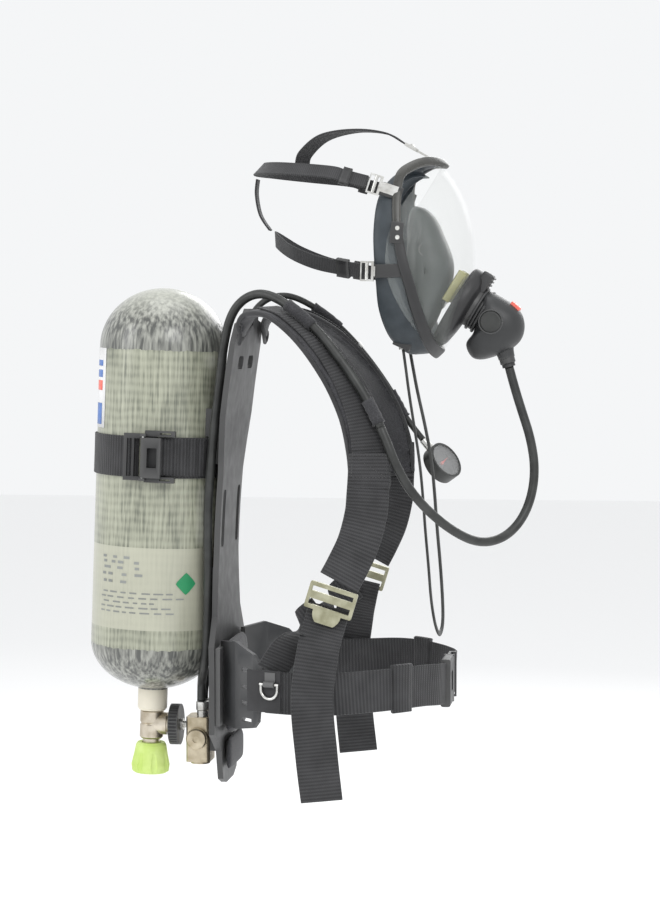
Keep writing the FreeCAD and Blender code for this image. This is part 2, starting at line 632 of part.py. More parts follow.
def make_belt():
    upright = [V(0, 0, 1)] * len(belt_route)
    right = ribbon(belt_route, upright, web_width, web_thick, 30)
    tongue_x = belt_front + 1.5 + web_thick / 2
    bend = [V(240, 103, belt_height + 3), V(256, 84, belt_height + 1),
            V(tongue_x, male_travel + 44, belt_height)]
    left_route = [V(p.x, -p.y, p.z) for p in belt_route[:5]] + bend
    left = ribbon(left_route, upright, web_width, web_thick, 30)
    keepers = []
    for route, side in ((belt_route, -1), (left_route, 1)):
        outside = ribbon(route, upright, web_width + 8, web_thick + 5, 30)
        inside = ribbon(route, upright, web_width + 2, web_thick + 1, 30)
        slice_box = block(206, 224, min(side * 60, side * 170), max(side * 60, side * 170), -60, 90)
        keepers.append(outside.cut(inside).common(slice_box))
    save("belt_keepers", group(keepers))
    half = web_width / 2
    z = belt_height
    female = block(belt_front - 5, belt_front + 7, -46, -2, z - half - 4, z + half + 4)
    female = female.makeFillet(3, [e for e in female.Edges if abs(e.tangentAt(0).y) > 0.9])
    female = female.cut(block(belt_front - 2.5, belt_front + 4.5, -30, -1, z - half - 1, z + half + 1))
    female = female.cut(block(belt_front + 1, belt_front + 8, -30, -12, z - 12, z + 12))
    save("belt_buckle_female", female)
    male = block(belt_front - 2, belt_front + 1, 0, 40, z - half - 3, z + half + 3)
    rim = block(belt_front - 5, belt_front + 7, 0, 5, z - half - 4, z + half + 4)
    rim = rim.cut(block(belt_front + 1, belt_front + 5, -1, 6, z - half - 0.6, z + half + 0.6))
    bridge = block(belt_front - 2, belt_front + 7, 34, 40, z - half - 3, z + half + 3)
    bridge = bridge.cut(block(belt_front + 1, belt_front + 5, 33, 41, z - half - 0.6, z + half + 0.6))
    prongs = []
    for low in (z - half + 1, z + half - 9):
        prongs.append(block(belt_front - 2, belt_front + 1, -25, 1, low, low + 8))
    prongs.append(block(belt_front - 2, belt_front + 1, -20, 1, z - 5, z + 5))
    save("belt_buckle_male", male.fuse([rim, bridge] + prongs))
    tongue_half = web_thick / 2
    tongue = block(tongue_x - tongue_half, tongue_x + tongue_half, 8, male_travel + 43.3, z - half, z + half)
    save("waist_belt", group([right, left, tongue]))


ring_bar = V(59.8, -152.6, 26)   # middle of the D-ring's straight bar
ring_turn = -20.0               # degrees, the belt's direction there
ring_wide = 11.0
ring_wire = 1.7


def at_ring(shape):
    shape.rotate(V(0, 0, 0), V(0, 0, 1), ring_turn)
    shape.translate(ring_bar)
    return shape


def ring_loop():
    """Webbing loop on the hip wing that the D-ring hangs in."""
    hole = ring_wire + 0.3
    loop = pipe(hole + 1.6, hole, V(-7, 0, 0), V(7, 0, 0))
    tab = block(-7, 7, 1.6, 3.6, -2, 14).cut(rod(hole, V(-9, 0, 0), V(9, 0, 0)))
    return at_ring(loop.fuse(tab))


def make_rings():
    end = V(ring_wide, 0, 0)
    shank = V(0, 0, -6)
    bow = Part.makeTorus(ring_wide, ring_wire, shank, V(0, 1, 0))
    bow = bow.common(block(-30, 30, -9, 9, -40, shank.z))
    bar = rod(ring_wire, end * -1.15, end * 1.15)
    sides = [rod(ring_wire, end, end + shank), rod(ring_wire, end * -1, shank - end)]
    save_pair("d_ring", at_ring(bar.fuse(sides + [bow])))


# ---- face mask -------------------------------------------------------------
def rim_points(grow, ring, back=0.0, count=28):
    """Where the dome, grown outwards, meets the upright cylinder that the edge follows."""
    points = []
    for i in range(count):
        angle = 2 * math.pi * i / count
        low, high = 5.0, 160.0
        for _ in range(40):
            reach = (low + high) / 2
            y = reach * math.sin(angle)
            z = reach * math.cos(angle)
            x = head_x + math.sqrt(max(0, ring ** 2 - y ** 2)) - visor_centre.x
            size = (x / (visor_x + grow)) ** 2 + (y / (visor_y + grow)) ** 2 + (z / (visor_z + grow)) ** 2
            if size < 1 and abs(y) < ring:
                low = reach
            else:
                high = reach
        x = head_x + math.sqrt(max(0, ring ** 2 - y ** 2))
        points.append(V(x - back, y, visor_centre.z + z))
    return points


def port_axis():
    drop = math.radians(port_drop)
    return V(math.cos(drop), 0, -math.sin(drop))


def port_point(out, up=0.0, side=0.0):
    drop = math.radians(port_drop)
    return port_centre + port_axis() * out + V(math.sin(drop), 0, math.cos(drop)) * up + V(0, side, 0)


def make_mask():
    outer = ellipsoid(visor_centre, visor_x, visor_y, visor_z)
    inner = ellipsoid(visor_centre, visor_x - visor_thick, visor_y - visor_thick, visor_z - visor_thick)
    behind = rod(head_radius, V(head_x, 0, 300), V(head_x, 0, 760))
    front = block(visor_centre.x - 12, 330, -120, 120, 340, 720)
    port_room = rod(port_radius + 0.2, port_point(-80), port_point(60))
    visor = outer.cut(inner).common(front).cut(behind).cut(port_room)
    visor = max(visor.Solids, key=lambda s: s.Volume)
    save("visor", visor)
    front_ring = head_radius + frame_band
    rear_ring = head_radius - 2
    band = ring_of_loops([rim_points(0.3, front_ring), rim_points(frame_thick, front_ring),
                          rim_points(frame_thick, rear_ring), rim_points(0.3, rear_ring)])
    band = band.cut(port_room).cut(ellipsoid(visor_centre, visor_x + 0.2, visor_y + 0.2, visor_z + 0.2))
    joint_z = 560.0
    screws = []
    for sign in (-1, 1):
        for z in (joint_z + 5, joint_z - 6):
            at = V(204, sign * 89.5, z)
            screws.append(rod(2.6, at, at + V(0.6, sign * 3.4, 0)))
    band = band.cut(screws)
    for end, after in ((neck_route[0], neck_route[1]), (neck_route[-1], neck_route[-2])):
        screws.append(rod(5, end, end + (end - after).normalize() * 14))
    save("frame_fasteners", group(screws))
    save("frame_upper", band.common(block(100, 300, -120, 120, joint_z, 720)))
    save("frame_lower", band.common(block(100, 300, -120, 120, 340, joint_z - 0.4)).cut(screws))
    seal = ring_of_loops([rim_points(0.0, rear_ring - 0.3), rim_points(-9.0, rear_ring - 0.3),
                          rim_points(-21.0, rear_ring, seal_depth), rim_points(-14.0, rear_ring, seal_depth)])
    save("face_seal", seal.cut(port_room))
    cup_centre = V(212, 0, 520)
    cup = ellipsoid(cup_centre, 50, 40, 78).cut(ellipsoid(cup_centre, 47.5, 37.5, 75.5))
    cup_port = rod(port_radius + 0.3, port_point(-90), port_point(60))
    cup = cup.common(block(206, 300, -60, 60, 400, 640)).cut(cup_port)
    valve_seats = []
    discs = []
    for sign in (-1, 1):
        at = V(232, sign * 36, 541)
        out = V(0.35, sign * 0.93, 0.1).normalize()
        valve_seats.append(rod(9.2, at - out * 10, at + out * 10))
        seat = pipe(9, 7, at - out * 5, at + out * 2)
        discs.append(seat.fuse(rod(7.2, at + out * 0.4, at + out * 1.2)))
    save("inner_mask", max(cup.cut(valve_seats).Solids, key=lambda s: s.Volume))
    save("inhalation_valves", group(discs))
    housing = pipe(port_radius, port_bore + 1, port_point(-30), port_point(6))
    flare = Part.makeCone(port_radius + 6, port_radius + 1, 10, port_point(-4), port_axis())
    flare = flare.cut(rod(port_bore + 1, port_point(-60), port_point(60)))
    save("port_housing", housing.fuse(flare.cut(outer)))
    save("speech_diaphragm", pipe(port_bore + 0.9, 8, port_point(-26), port_point(-23)))


cover_x = 311.0                 # middle of the press button on the valve's right side
cover_z = 454.0


def make_valve():
    """Demand valve: plugs into the mask's port, hose nut below, press button on its front."""
    body_centre = V(318, 0, 447)
    shell = pod(body_centre, 32, 38, 9)
    nose = Part.makeCone(26, 22, 30, port_point(22), port_axis() * -1)
    plug = rod(port_bore, port_point(-14), port_point(24))
    nut_top = hose_foot + hose_in * 12
    spout = rod(hose_radius + 4.5, nut_top, nut_top + hose_in * 26)
    keep_out = rod(port_radius + 8, port_point(-60), port_point(6.4))
    solid = shell.cut(keep_out).fuse(nose.cut(rod(60, port_point(-60), port_point(6.4)))).fuse([plug, spout])
    cavity = pod(body_centre, 27, 32.5, 7).cut(rod(60, port_point(-60), port_point(12)))
    button_at = V(337, 0, 470)
    button_out = V(0.66, 0, 0.75).normalize()
    button_room = block(-7.5, 7.5, -13, 13, -12, 14)
    button_room.rotate(V(0, 0, 0), V(0, 1, 0), 41.3)
    button_room.translate(button_at)
    cover_room = rod(13.2, V(cover_x, -16, cover_z), V(cover_x, -60, cover_z))
    ring_room = pipe(60, port_bore + 0.2, port_point(6.3), port_point(12.2))
    nut_room = rod(hose_radius + 4.6, hose_foot - hose_in * 5, nut_top)
    passage = rod(8, port_point(-20), port_point(30))
    save("valve_shell", solid.cut([cavity, button_room, cover_room, ring_room, nut_room, passage]))
    button = block(-6.8, 6.8, -12.3, 12.3, -9, 6)
    button = button.makeFillet(2, [e for e in button.Edges if abs(e.tangentAt(0).z) > 0.9])
    button.rotate(V(0, 0, 0), V(0, 1, 0), 41.3)
    button.translate(button_at)
    save("red_button", button)
    press = rod(13.0, V(cover_x, -27, cover_z), V(cover_x, -33, cover_z))
    press = press.makeFillet(2, [press.Edges[0]])
    save("press_button", press)
    save("diaphragm", rod(12.9, V(cover_x, -17.2, cover_z), V(cover_x, -18.6, cover_z)))
    nut = revolved([(0, 0), (hose_radius + 2.5, 0), (hose_radius + 2.5, 4), (hose_radius + 4, 5),
                    (hose_radius + 4, 12), (0, 12)])
    nut.rotate(V(0, 0, 0), V(0, 1, 0), -math.degrees(math.asin(-hose_in.x)))
    nut.translate(hose_foot)
    save("hose_nut", nut)
    grip = pipe(26, port_bore + 0.4, port_point(6.5), port_point(12))
    save("lock_ring", grip)


# ---- head harness and neck strap -------------------------------------------
upper_strap = [V(167.5, -87.2, 620), V(141, -88, 627), V(123, -88, 632), V(73, -76, 637), V(36, -44, 640),
               V(24, 0, 640)]
lower_strap = [V(159, -87, 515), V(139, -80, 518), V(101, -64, 526), V(67, -43, 540), V(44, 0, 556)]


def both_sides(points):
    return points + [V(p.x, -p.y, p.z) for p in points[-2::-1]]


def band_sides(points):
    sides = []
    for i in range(len(points)):
        along = points[min(i + 1, len(points) - 1)] - points[max(i - 1, 0)]
        out = V(points[i].x - 105, points[i].y * 1.1, points[i].z - 560)
        sides.append(along.cross(out).normalize())
    return sides


def make_head_harness():
    upper = both_sides(upper_strap)
    lower = both_sides(lower_strap)
    back = [V(21.5, 0, 629), V(20, 0, 610), V(25, 0, 585), V(37, 0, 566.5)]
    straps = [ribbon(upper, band_sides(upper), harness_width, harness_thick, 48),
              ribbon(lower, band_sides(lower), harness_width, harness_thick, 48),
              ribbon(back, [V(0, 1, 0)] * 4, harness_width, harness_thick, 12)]
    crown = [V(202, 0, 672), V(180, 2, 684), V(142, 8, 688), V(100, 30, 682), V(72, 58, 664), V(66, 69, 650)]
    sides = [V(0, 1, 0), V(0.1, 1, 0), V(0.3, 1, -0.1), V(0.6, 0.8, -0.3), V(0.8, 0.5, -0.3), V(0.9, 0.4, -0.2)]
    straps.append(ribbon(crown, sides, harness_width, harness_thick))
    save("head_harness", group(straps))
    # buckles: a frame with a roller, linked to a lug on the mask's frame
    buckles = [buckle_with_lug(V(215, 0, 664), V(-0.9, 0, 0.5), V(0.5, 0, 0.9), 22)]
    buckles += both(buckle_with_lug(V(180, -84, 616), V(-0.91, -0.27, 0.3), V(0, -1, 0), 25))
    buckles += both(buckle_with_lug(V(172, -88.5, 514), V(-1, 0, 0.03), V(0, -1, 0), 5.6))
    save("harness_buckles", group(buckles))


def buckle_with_lug(at, along, out, reach):
    x = V(along).normalize()
    z = (out - x * out.dot(x)).normalize()
    y = z.cross(x)
    frame = block(-4, 12, -harness_width / 2 - 2.5, harness_width / 2 + 2.5, -1.6, 2.4)
    frame = frame.cut(block(-1, 3, -harness_width / 2 - 0.3, harness_width / 2 + 0.3, -3, 4))
    frame = frame.cut(block(5.5, 10.5, -harness_width / 2 - 0.3, harness_width / 2 + 0.3, -3, 4))
    lug = block(-reach, -3.8, -6, 6, -1.2, 1.2)
    roller = rod(2.2, V(4.2, -harness_width / 2 - 1, 2.2), V(4.2, harness_width / 2 + 1, 2.2))
    shape = frame.fuse([lug, roller])
    place = FreeCAD.Matrix(x.x, y.x, z.x, at.x, x.y, y.y, z.y, at.y, x.z, y.z, z.z, at.z, 0, 0, 0, 1)
    return shape.transformGeometry(place)


neck_route = [V(205, -32, 421), V(208, -31, 400), V(212, -30, 368), V(218, -29, 330), V(225, -28, 285),
              V(229, -27, 243), V(232, -27, 200), V(236, -27, 158), V(239, -27, 117), V(243, -27, 91),
              V(245.5, -19.8, 78), V(247, -7.2, 71), V(248, 7.2, 71), V(249, 19.8, 78), V(249, 27, 91),
              V(248, 27.5, 117), V(245, 28, 158), V(241, 28, 200), V(238, 28, 243), V(234, 28, 285),
              V(225, 29, 330), V(216, 30, 368), V(210, 31, 400), V(206, 32, 421)]


def make_neck_strap():
    save("neck_strap", tube_along("neck_strap", neck_route, strap_cord_radius))


make_plate()
make_cradle()
make_cylinder()
make_cylinder_valve()
make_reducer()
make_cylinder_strap()
make_pads()
make_shoulder_harness()
make_hoses()
make_gauge()
make_belt()
make_rings()
make_mask()
make_valve()
make_head_harness()
make_neck_strap()
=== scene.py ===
import bpy
import bmesh
import math
import random
from mathutils import Matrix, Vector


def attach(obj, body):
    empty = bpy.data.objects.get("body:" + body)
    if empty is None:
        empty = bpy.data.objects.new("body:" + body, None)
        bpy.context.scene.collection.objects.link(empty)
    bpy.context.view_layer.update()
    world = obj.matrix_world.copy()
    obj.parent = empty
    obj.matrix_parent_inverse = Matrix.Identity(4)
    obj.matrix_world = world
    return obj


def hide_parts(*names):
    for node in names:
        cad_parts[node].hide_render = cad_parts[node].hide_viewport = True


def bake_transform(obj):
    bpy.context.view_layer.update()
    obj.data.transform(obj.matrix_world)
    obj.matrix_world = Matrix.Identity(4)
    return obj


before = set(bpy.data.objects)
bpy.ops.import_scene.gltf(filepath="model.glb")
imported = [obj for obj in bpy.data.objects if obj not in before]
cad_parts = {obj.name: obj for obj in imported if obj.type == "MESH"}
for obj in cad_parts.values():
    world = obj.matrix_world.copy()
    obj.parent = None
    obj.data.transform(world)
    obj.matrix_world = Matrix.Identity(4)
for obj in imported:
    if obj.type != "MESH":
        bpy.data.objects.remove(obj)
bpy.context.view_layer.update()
print("stage: frame loaded")


# ---- camera, light and floor
view = {"azimuth": 8.0, "elevation": 3.0, "distance": 3.0, "aim": (0.111, 0.0, 0.296), "height": 1.1106}


def mm(x, y, z):
    return Vector((x, y, z)) / 1000


def aimAt(thing, place, target):
    thing.location = place
    thing.rotation_euler = (Vector(target) - Vector(place)).to_track_quat("-Z", "Y").to_euler()


def makeCamera():
    turn, lift = math.radians(view["azimuth"]), math.radians(view["elevation"])
    back = Vector((math.sin(turn) * math.cos(lift), -math.cos(turn) * math.cos(lift), math.sin(lift)))
    data = bpy.data.cameras.new("camera")
    camera = bpy.data.objects.new("camera", data)
    bpy.context.collection.objects.link(camera)
    aimAt(camera, Vector(view["aim"]) + back * view["distance"], view["aim"])
    data.sensor_fit = "VERTICAL"
    data.sensor_height = 24
    data.lens = 24 * view["distance"] / view["height"]
    bpy.context.scene.camera = camera


def areaLight(name, place, size, power, target=(0.1, 0, 0.3)):
    data = bpy.data.lights.new(name, "AREA")
    data.shape = "RECTANGLE"
    data.size, data.size_y = size
    data.energy = power
    lamp = bpy.data.objects.new(name, data)
    bpy.context.collection.objects.link(lamp)
    aimAt(lamp, place, target)


def makeStudio():
    world = bpy.data.worlds.new("studio")
    world.use_nodes = True
    world.node_tree.nodes["Background"].inputs[0].default_value = (0.96, 0.97, 0.98, 1)
    world.node_tree.nodes["Background"].inputs[1].default_value = 0.95
    bpy.context.scene.world = world
    bpy.context.scene.view_settings.view_transform = "Standard"
    areaLight("keyLight", (1.2, -2.2, 1.7), (1.4, 1.4), 24)
    areaLight("rearLight", (-1.9, -1.2, 1.2), (0.9, 1.6), 14)
    areaLight("farLight", (0.6, 2.2, 1.4), (1.6, 1.2), 18)
    areaLight("topLight", (0.1, 0.0, 2.4), (1.6, 1.6), 12)
    floorMesh = bpy.data.meshes.new("floor")
    side, level = 9.0, -0.42
    floorMesh.from_pydata([(-side, -side, level), (side, -side, level), (side, side, level),
                           (-side, side, level)],
                          [], [(0, 1, 2, 3)])
    floor = bpy.data.objects.new("floor", floorMesh)
    bpy.context.collection.objects.link(floor)
    pale = bpy.data.materials.new("paleFloor")
    pale.use_nodes = True
    pale.node_tree.nodes["Principled BSDF"].inputs["Base Color"].default_value = (0.93, 0.93, 0.93, 1)
    pale.node_tree.nodes["Principled BSDF"].inputs["Roughness"].default_value = 0.9
    floorMesh.materials.append(pale)


makeCamera()
makeStudio()
print("stage: camera and studio")


# ---- material kit: each finish below is made from these few steps
def newMaterial(name, colour, roughness=0.5, metallic=0.0, coat=0.0, sheen=0.0):
    material = bpy.data.materials.new(name)
    material.use_nodes = True
    shader = material.node_tree.nodes["Principled BSDF"]
    shader.inputs["Base Color"].default_value = (*colour, 1)
    shader.inputs["Roughness"].default_value = roughness
    shader.inputs["Metallic"].default_value = metallic
    shader.inputs["Coat Weight"].default_value = coat
    shader.inputs["Sheen Weight"].default_value = sheen
    return material


def addNode(material, kind, **settings):
    node = material.node_tree.nodes.new(kind)
    for key, value in settings.items():
        if hasattr(node, key):
            setattr(node, key, value)
        else:
            node.inputs[key].default_value = value
    return node


def wire(material, source, target):
    material.node_tree.links.new(source, target)


def shaderOf(material):
    return material.node_tree.nodes["Principled BSDF"]


def mathNode(material, operation, first, second=None):
    node = addNode(material, "ShaderNodeMath", operation=operation)
    for slot, value in ((0, first), (1, second)):
        if value is None:
            continue
        if isinstance(value, (int, float)):
            node.inputs[slot].default_value = value
        else:
            wire(material, value, node.inputs[slot])
    return node.outputs[0]


def times(material, first, second):
    return mathNode(material, "MULTIPLY", first, second)


def plus(material, first, second):
    return mathNode(material, "ADD", first, second)


def objectPoint(material):
    return addNode(material, "ShaderNodeTexCoord").outputs["Object"]


def noiseOf(material, scale, detail=4.0, stretch=None, point=None):
    source = point or objectPoint(material)
    if stretch:
        mapping = addNode(material, "ShaderNodeMapping")
        mapping.inputs["Scale"].default_value = stretch
        wire(material, source, mapping.inputs["Vector"])
        source = mapping.outputs[0]
    node = addNode(material, "ShaderNodeTexNoise")
    node.inputs["Scale"].default_value = scale
    node.inputs["Detail"].default_value = detail
    wire(material, source, node.inputs["Vector"])
    return node.outputs["Fac"]


def ramp(material, value, stops):
    node = addNode(material, "ShaderNodeValToRGB")
    while len(node.color_ramp.elements) < len(stops):
        node.color_ramp.elements.new(0.5)
    for element, (place, colour) in zip(node.color_ramp.elements, stops):
        element.position = place
        element.color = (*colour, 1) if isinstance(colour, tuple) else (colour, colour, colour, 1)
    wire(material, value, node.inputs[0])
    return node.outputs[0]


def mixColours(material, share, first, second, blend="MIX"):
    node = addNode(material, "ShaderNodeMix", data_type="RGBA", blend_type=blend)
    for slot, value in ((0, share), (6, first), (7, second)):
        if isinstance(value, (int, float)):
            node.inputs[slot].default_value = value
        elif isinstance(value, tuple):
            node.inputs[slot].default_value = (*value, 1)
        else:
            wire(material, value, node.inputs[slot])
    return node.outputs[2]


def colourBy(material, value, stops):
    wire(material, ramp(material, value, stops), shaderOf(material).inputs["Base Color"])


def roughBy(material, value, low, high):
    node = addNode(material, "ShaderNodeMapRange")
    node.inputs["To Min"].default_value = low
    node.inputs["To Max"].default_value = high
    wire(material, value, node.inputs["Value"])
    wire(material, node.outputs[0], shaderOf(material).inputs["Roughness"])


def bumpBy(material, value, strength, distance, under=None):
    node = addNode(material, "ShaderNodeBump")
    node.inputs["Strength"].default_value = strength
    node.inputs["Distance"].default_value = distance
    wire(material, value, node.inputs["Height"])
    if under:
        wire(material, under, node.inputs["Normal"])
    wire(material, node.outputs[0], shaderOf(material).inputs["Normal"])
    return node.outputs[0]


def mouldedPlastic(name, colour, worn, roughness=0.45, grain=900):
    # Moulded part: fine spark grain, cloudy wear and paler rubbed edges.
    material = newMaterial(name, colour, roughness)
    cloud = noiseOf(material, 22, 5)
    edge = addNode(material, "ShaderNodeNewGeometry").outputs["Pointiness"]
    rubbed = ramp(material, edge, [(0.50, 0.0), (0.60, 1.0)])
    base = ramp(material, cloud, [(0.35, colour), (0.75, tuple(c * 1.5 for c in colour))])
    wire(material, mixColours(material, rubbed, base, worn), shaderOf(material).inputs["Base Color"])
    roughBy(material, noiseOf(material, 60, 6), roughness - 0.1, roughness + 0.18)
    bumpBy(material, noiseOf(material, grain, 2), 0.25, 0.0002)
    return material


def turnedMetal(name, colour, dull, roughness=0.28, stretch=(1, 1, 14)):
    # Machined metal: fine tool marks one way, stains and duller patches.
    material = newMaterial(name, colour, roughness, metallic=1.0)
    stain = noiseOf(material, 70, 6)
    colourBy(material, stain, [(0.3, dull), (0.62, colour)])
    marks = noiseOf(material, 160, 3, stretch)
    roughBy(material, marks, roughness - 0.08, roughness + 0.2)
    bumpBy(material, marks, 0.18, 0.0002)
    return material


def weaveMaterial(name, colour, light, ribs=(900, 1500), depth=0.5):
    # Woven strap: ribs along it and weft lines across it, from the strap's own across/along measure. Its
    # colour also holds painted shade in the grooves and a painted highlight on the raised ribs.
    material = newMaterial(name, colour, 0.75, sheen=0.12)
    shaderOf(material).inputs["Sheen Roughness"].default_value = 0.5
    along = addNode(material, "ShaderNodeAttribute", attribute_name="strapPoint")
    split = addNode(material, "ShaderNodeSeparateXYZ")
    wire(material, along.outputs["Vector"], split.inputs[0])
    lengthRib = mathNode(material, "SINE", times(material, split.outputs[1], ribs[1]))
    crossRib = mathNode(material, "SINE", times(material, split.outputs[0], ribs[0] * 2.6))
    twill = times(material, lengthRib, crossRib)
    height = plus(material, times(material, lengthRib, 0.8), times(material, twill, 0.5))
    fuzz = noiseOf(material, 900, 3)
    height = plus(material, height, times(material, fuzz, 0.5))
    # painted shade and highlight: the weave height darkens the grooves and lightens the ribs, mixed with
    # random tone
    shade = plus(material, times(material, height, 0.2), times(material, noiseOf(material, 30, 5), 0.75))
    colourBy(material, shade, [(0.2, colour), (0.85, light)])
    bumpBy(material, height, depth, 0.0006)
    return material


def meshFabric(name, colour, light, cell=620):
    # Padding cover: small knitted cells that need no unwrapping, each cell's hollow painted darker as shade.
    material = newMaterial(name, colour, 0.85, sheen=0.2)
    cells = addNode(material, "ShaderNodeTexVoronoi")
    cells.inputs["Scale"].default_value = cell
    wire(material, objectPoint(material), cells.inputs["Vector"])
    # painted shade: cell hollows coloured darker than their raised rims, mixed with random tone
    shade = plus(material, times(material, cells.outputs["Distance"], 0.5),
                 times(material, noiseOf(material, 25, 5), 0.6))
    colourBy(material, shade, [(0.25, colour), (0.85, light)])
    bumpBy(material, cells.outputs["Distance"], 0.55, 0.0008)
    return material


def rubberMaterial(name, colour, light, roughness=0.5):
    material = newMaterial(name, colour, roughness)
    colourBy(material, noiseOf(material, 45, 6), [(0.35, colour), (0.8, light)])
    roughBy(material, noiseOf(material, 130, 4), roughness - 0.12, roughness + 0.15)
    bumpBy(material, noiseOf(material, 1400, 2), 0.15, 0.0002)
    return material


def clearMaterial(name, tint, alpha, roughness=0.03):
    material = newMaterial(name, tint, roughness)
    material.surface_render_method = "BLENDED"
    shader = shaderOf(material)
    shader.inputs["Alpha"].default_value = alpha
    shader.inputs["IOR"].default_value = 1.5
    shader.inputs["Coat Weight"].default_value = 0.6
    smear = noiseOf(material, 18, 4)
    roughBy(material, smear, roughness, roughness + 0.05)
    colourBy(material, smear, [(0.3, tuple(c * 0.9 for c in tint)), (0.8, tint)])
    return material


bottleLook = {"foot": (-0.115, 0, -0.004), "lean": 2.06, "low": 0.058, "high": 0.424, "labelLow": 0.082,
              "labelHigh": 0.183,
              "barrel": (0.30, 0.31, 0.24), "barrelDark": (0.14, 0.15, 0.115),
              "barrelPale": (0.44, 0.45, 0.35),
              "shoulder": (0.075, 0.078, 0.072), "shoulderPale": (0.33, 0.335, 0.30),
              "label": (0.50, 0.50, 0.40)}


def bottleMaterial():
    # Clear-coated glass and carbon fibre wrap: crossed windings on the barrel, dark ends, printed band.
    look = bottleLook
    material = newMaterial("bottleWrap", look["barrel"], 0.32, coat=0.5)
    shaderOf(material).inputs["Coat Roughness"].default_value = 0.18
    mapping = addNode(material, "ShaderNodeMapping", vector_type="TEXTURE")
    mapping.inputs["Location"].default_value = look["foot"]
    mapping.inputs["Rotation"].default_value = (0, math.radians(look["lean"]), 0)
    wire(material, objectPoint(material), mapping.inputs["Vector"])
    split = addNode(material, "ShaderNodeSeparateXYZ")
    wire(material, mapping.outputs[0], split.inputs[0])
    around = times(material, mathNode(material, "ARCTAN2", split.outputs[1], split.outputs[0]), 0.079)
    height = split.outputs[2]
    wander = times(material, noiseOf(material, 30, 3, point=mapping.outputs[0]), 3.0)
    cells = []
    for slope in (1.0, -1.0):
        lay = plus(material, times(material, around, 520 * slope), times(material, height, 300))
        cells.append(mathNode(material, "SINE", plus(material, lay, wander)))
    crossing = times(material, cells[0], cells[1])
    strands = noiseOf(material, 420, 5, (1, 1, 0.07), mapping.outputs[0])
    blotch = noiseOf(material, 26, 4, (1, 1, 0.4), mapping.outputs[0])
    fibre = plus(material, times(material, crossing, 0.07), times(material, strands, 0.62))
    fibre = plus(material, fibre, times(material, blotch, 0.4))
    barrel = ramp(material, fibre, [(0.34, look["barrelDark"]), (0.50, look["barrel"]),
                                    (0.72, look["barrelPale"])])
    streaks = noiseOf(material, 240, 6, (1, 1, 0.10), mapping.outputs[0])
    ends = ramp(material, streaks, [(0.4, look["shoulder"]), (0.66, look["shoulderPale"])])
    pale = noiseOf(material, 9, 2, point=mapping.outputs[0])
    rise = plus(material, height, times(material, streaks, 0.02))
    apex = ramp(material, times(material, mathNode(material, "SUBTRACT", rise, 0.468), 22),
                [(0.0, 0.0), (1.0, 0.85)])
    ends = mixColours(material, apex, ends, (0.50, 0.51, 0.44))
    ragged = times(material, noiseOf(material, 160, 3, point=mapping.outputs[0]), 0.006)
    level = plus(material, height, ragged)
    onBarrel = times(material, mathNode(material, "GREATER_THAN", level, look["low"] + 0.003),
                     mathNode(material, "LESS_THAN", level, look["high"] + 0.003))
    colour = mixColours(material, onBarrel, ends, barrel)
    onLabel = times(material, mathNode(material, "GREATER_THAN", height, look["labelLow"]),
                    mathNode(material, "LESS_THAN", height, look["labelHigh"]))
    paper = ramp(material, pale, [(0.3, tuple(c * 0.86 for c in look["label"])), (0.7, look["label"])])
    colour = mixColours(material, times(material, onLabel, 0.8), colour, paper)
    wire(material, colour, shaderOf(material).inputs["Base Color"])
    roughBy(material, fibre, 0.24, 0.42)
    bumpBy(material, fibre, 0.2, 0.0006)
    return material


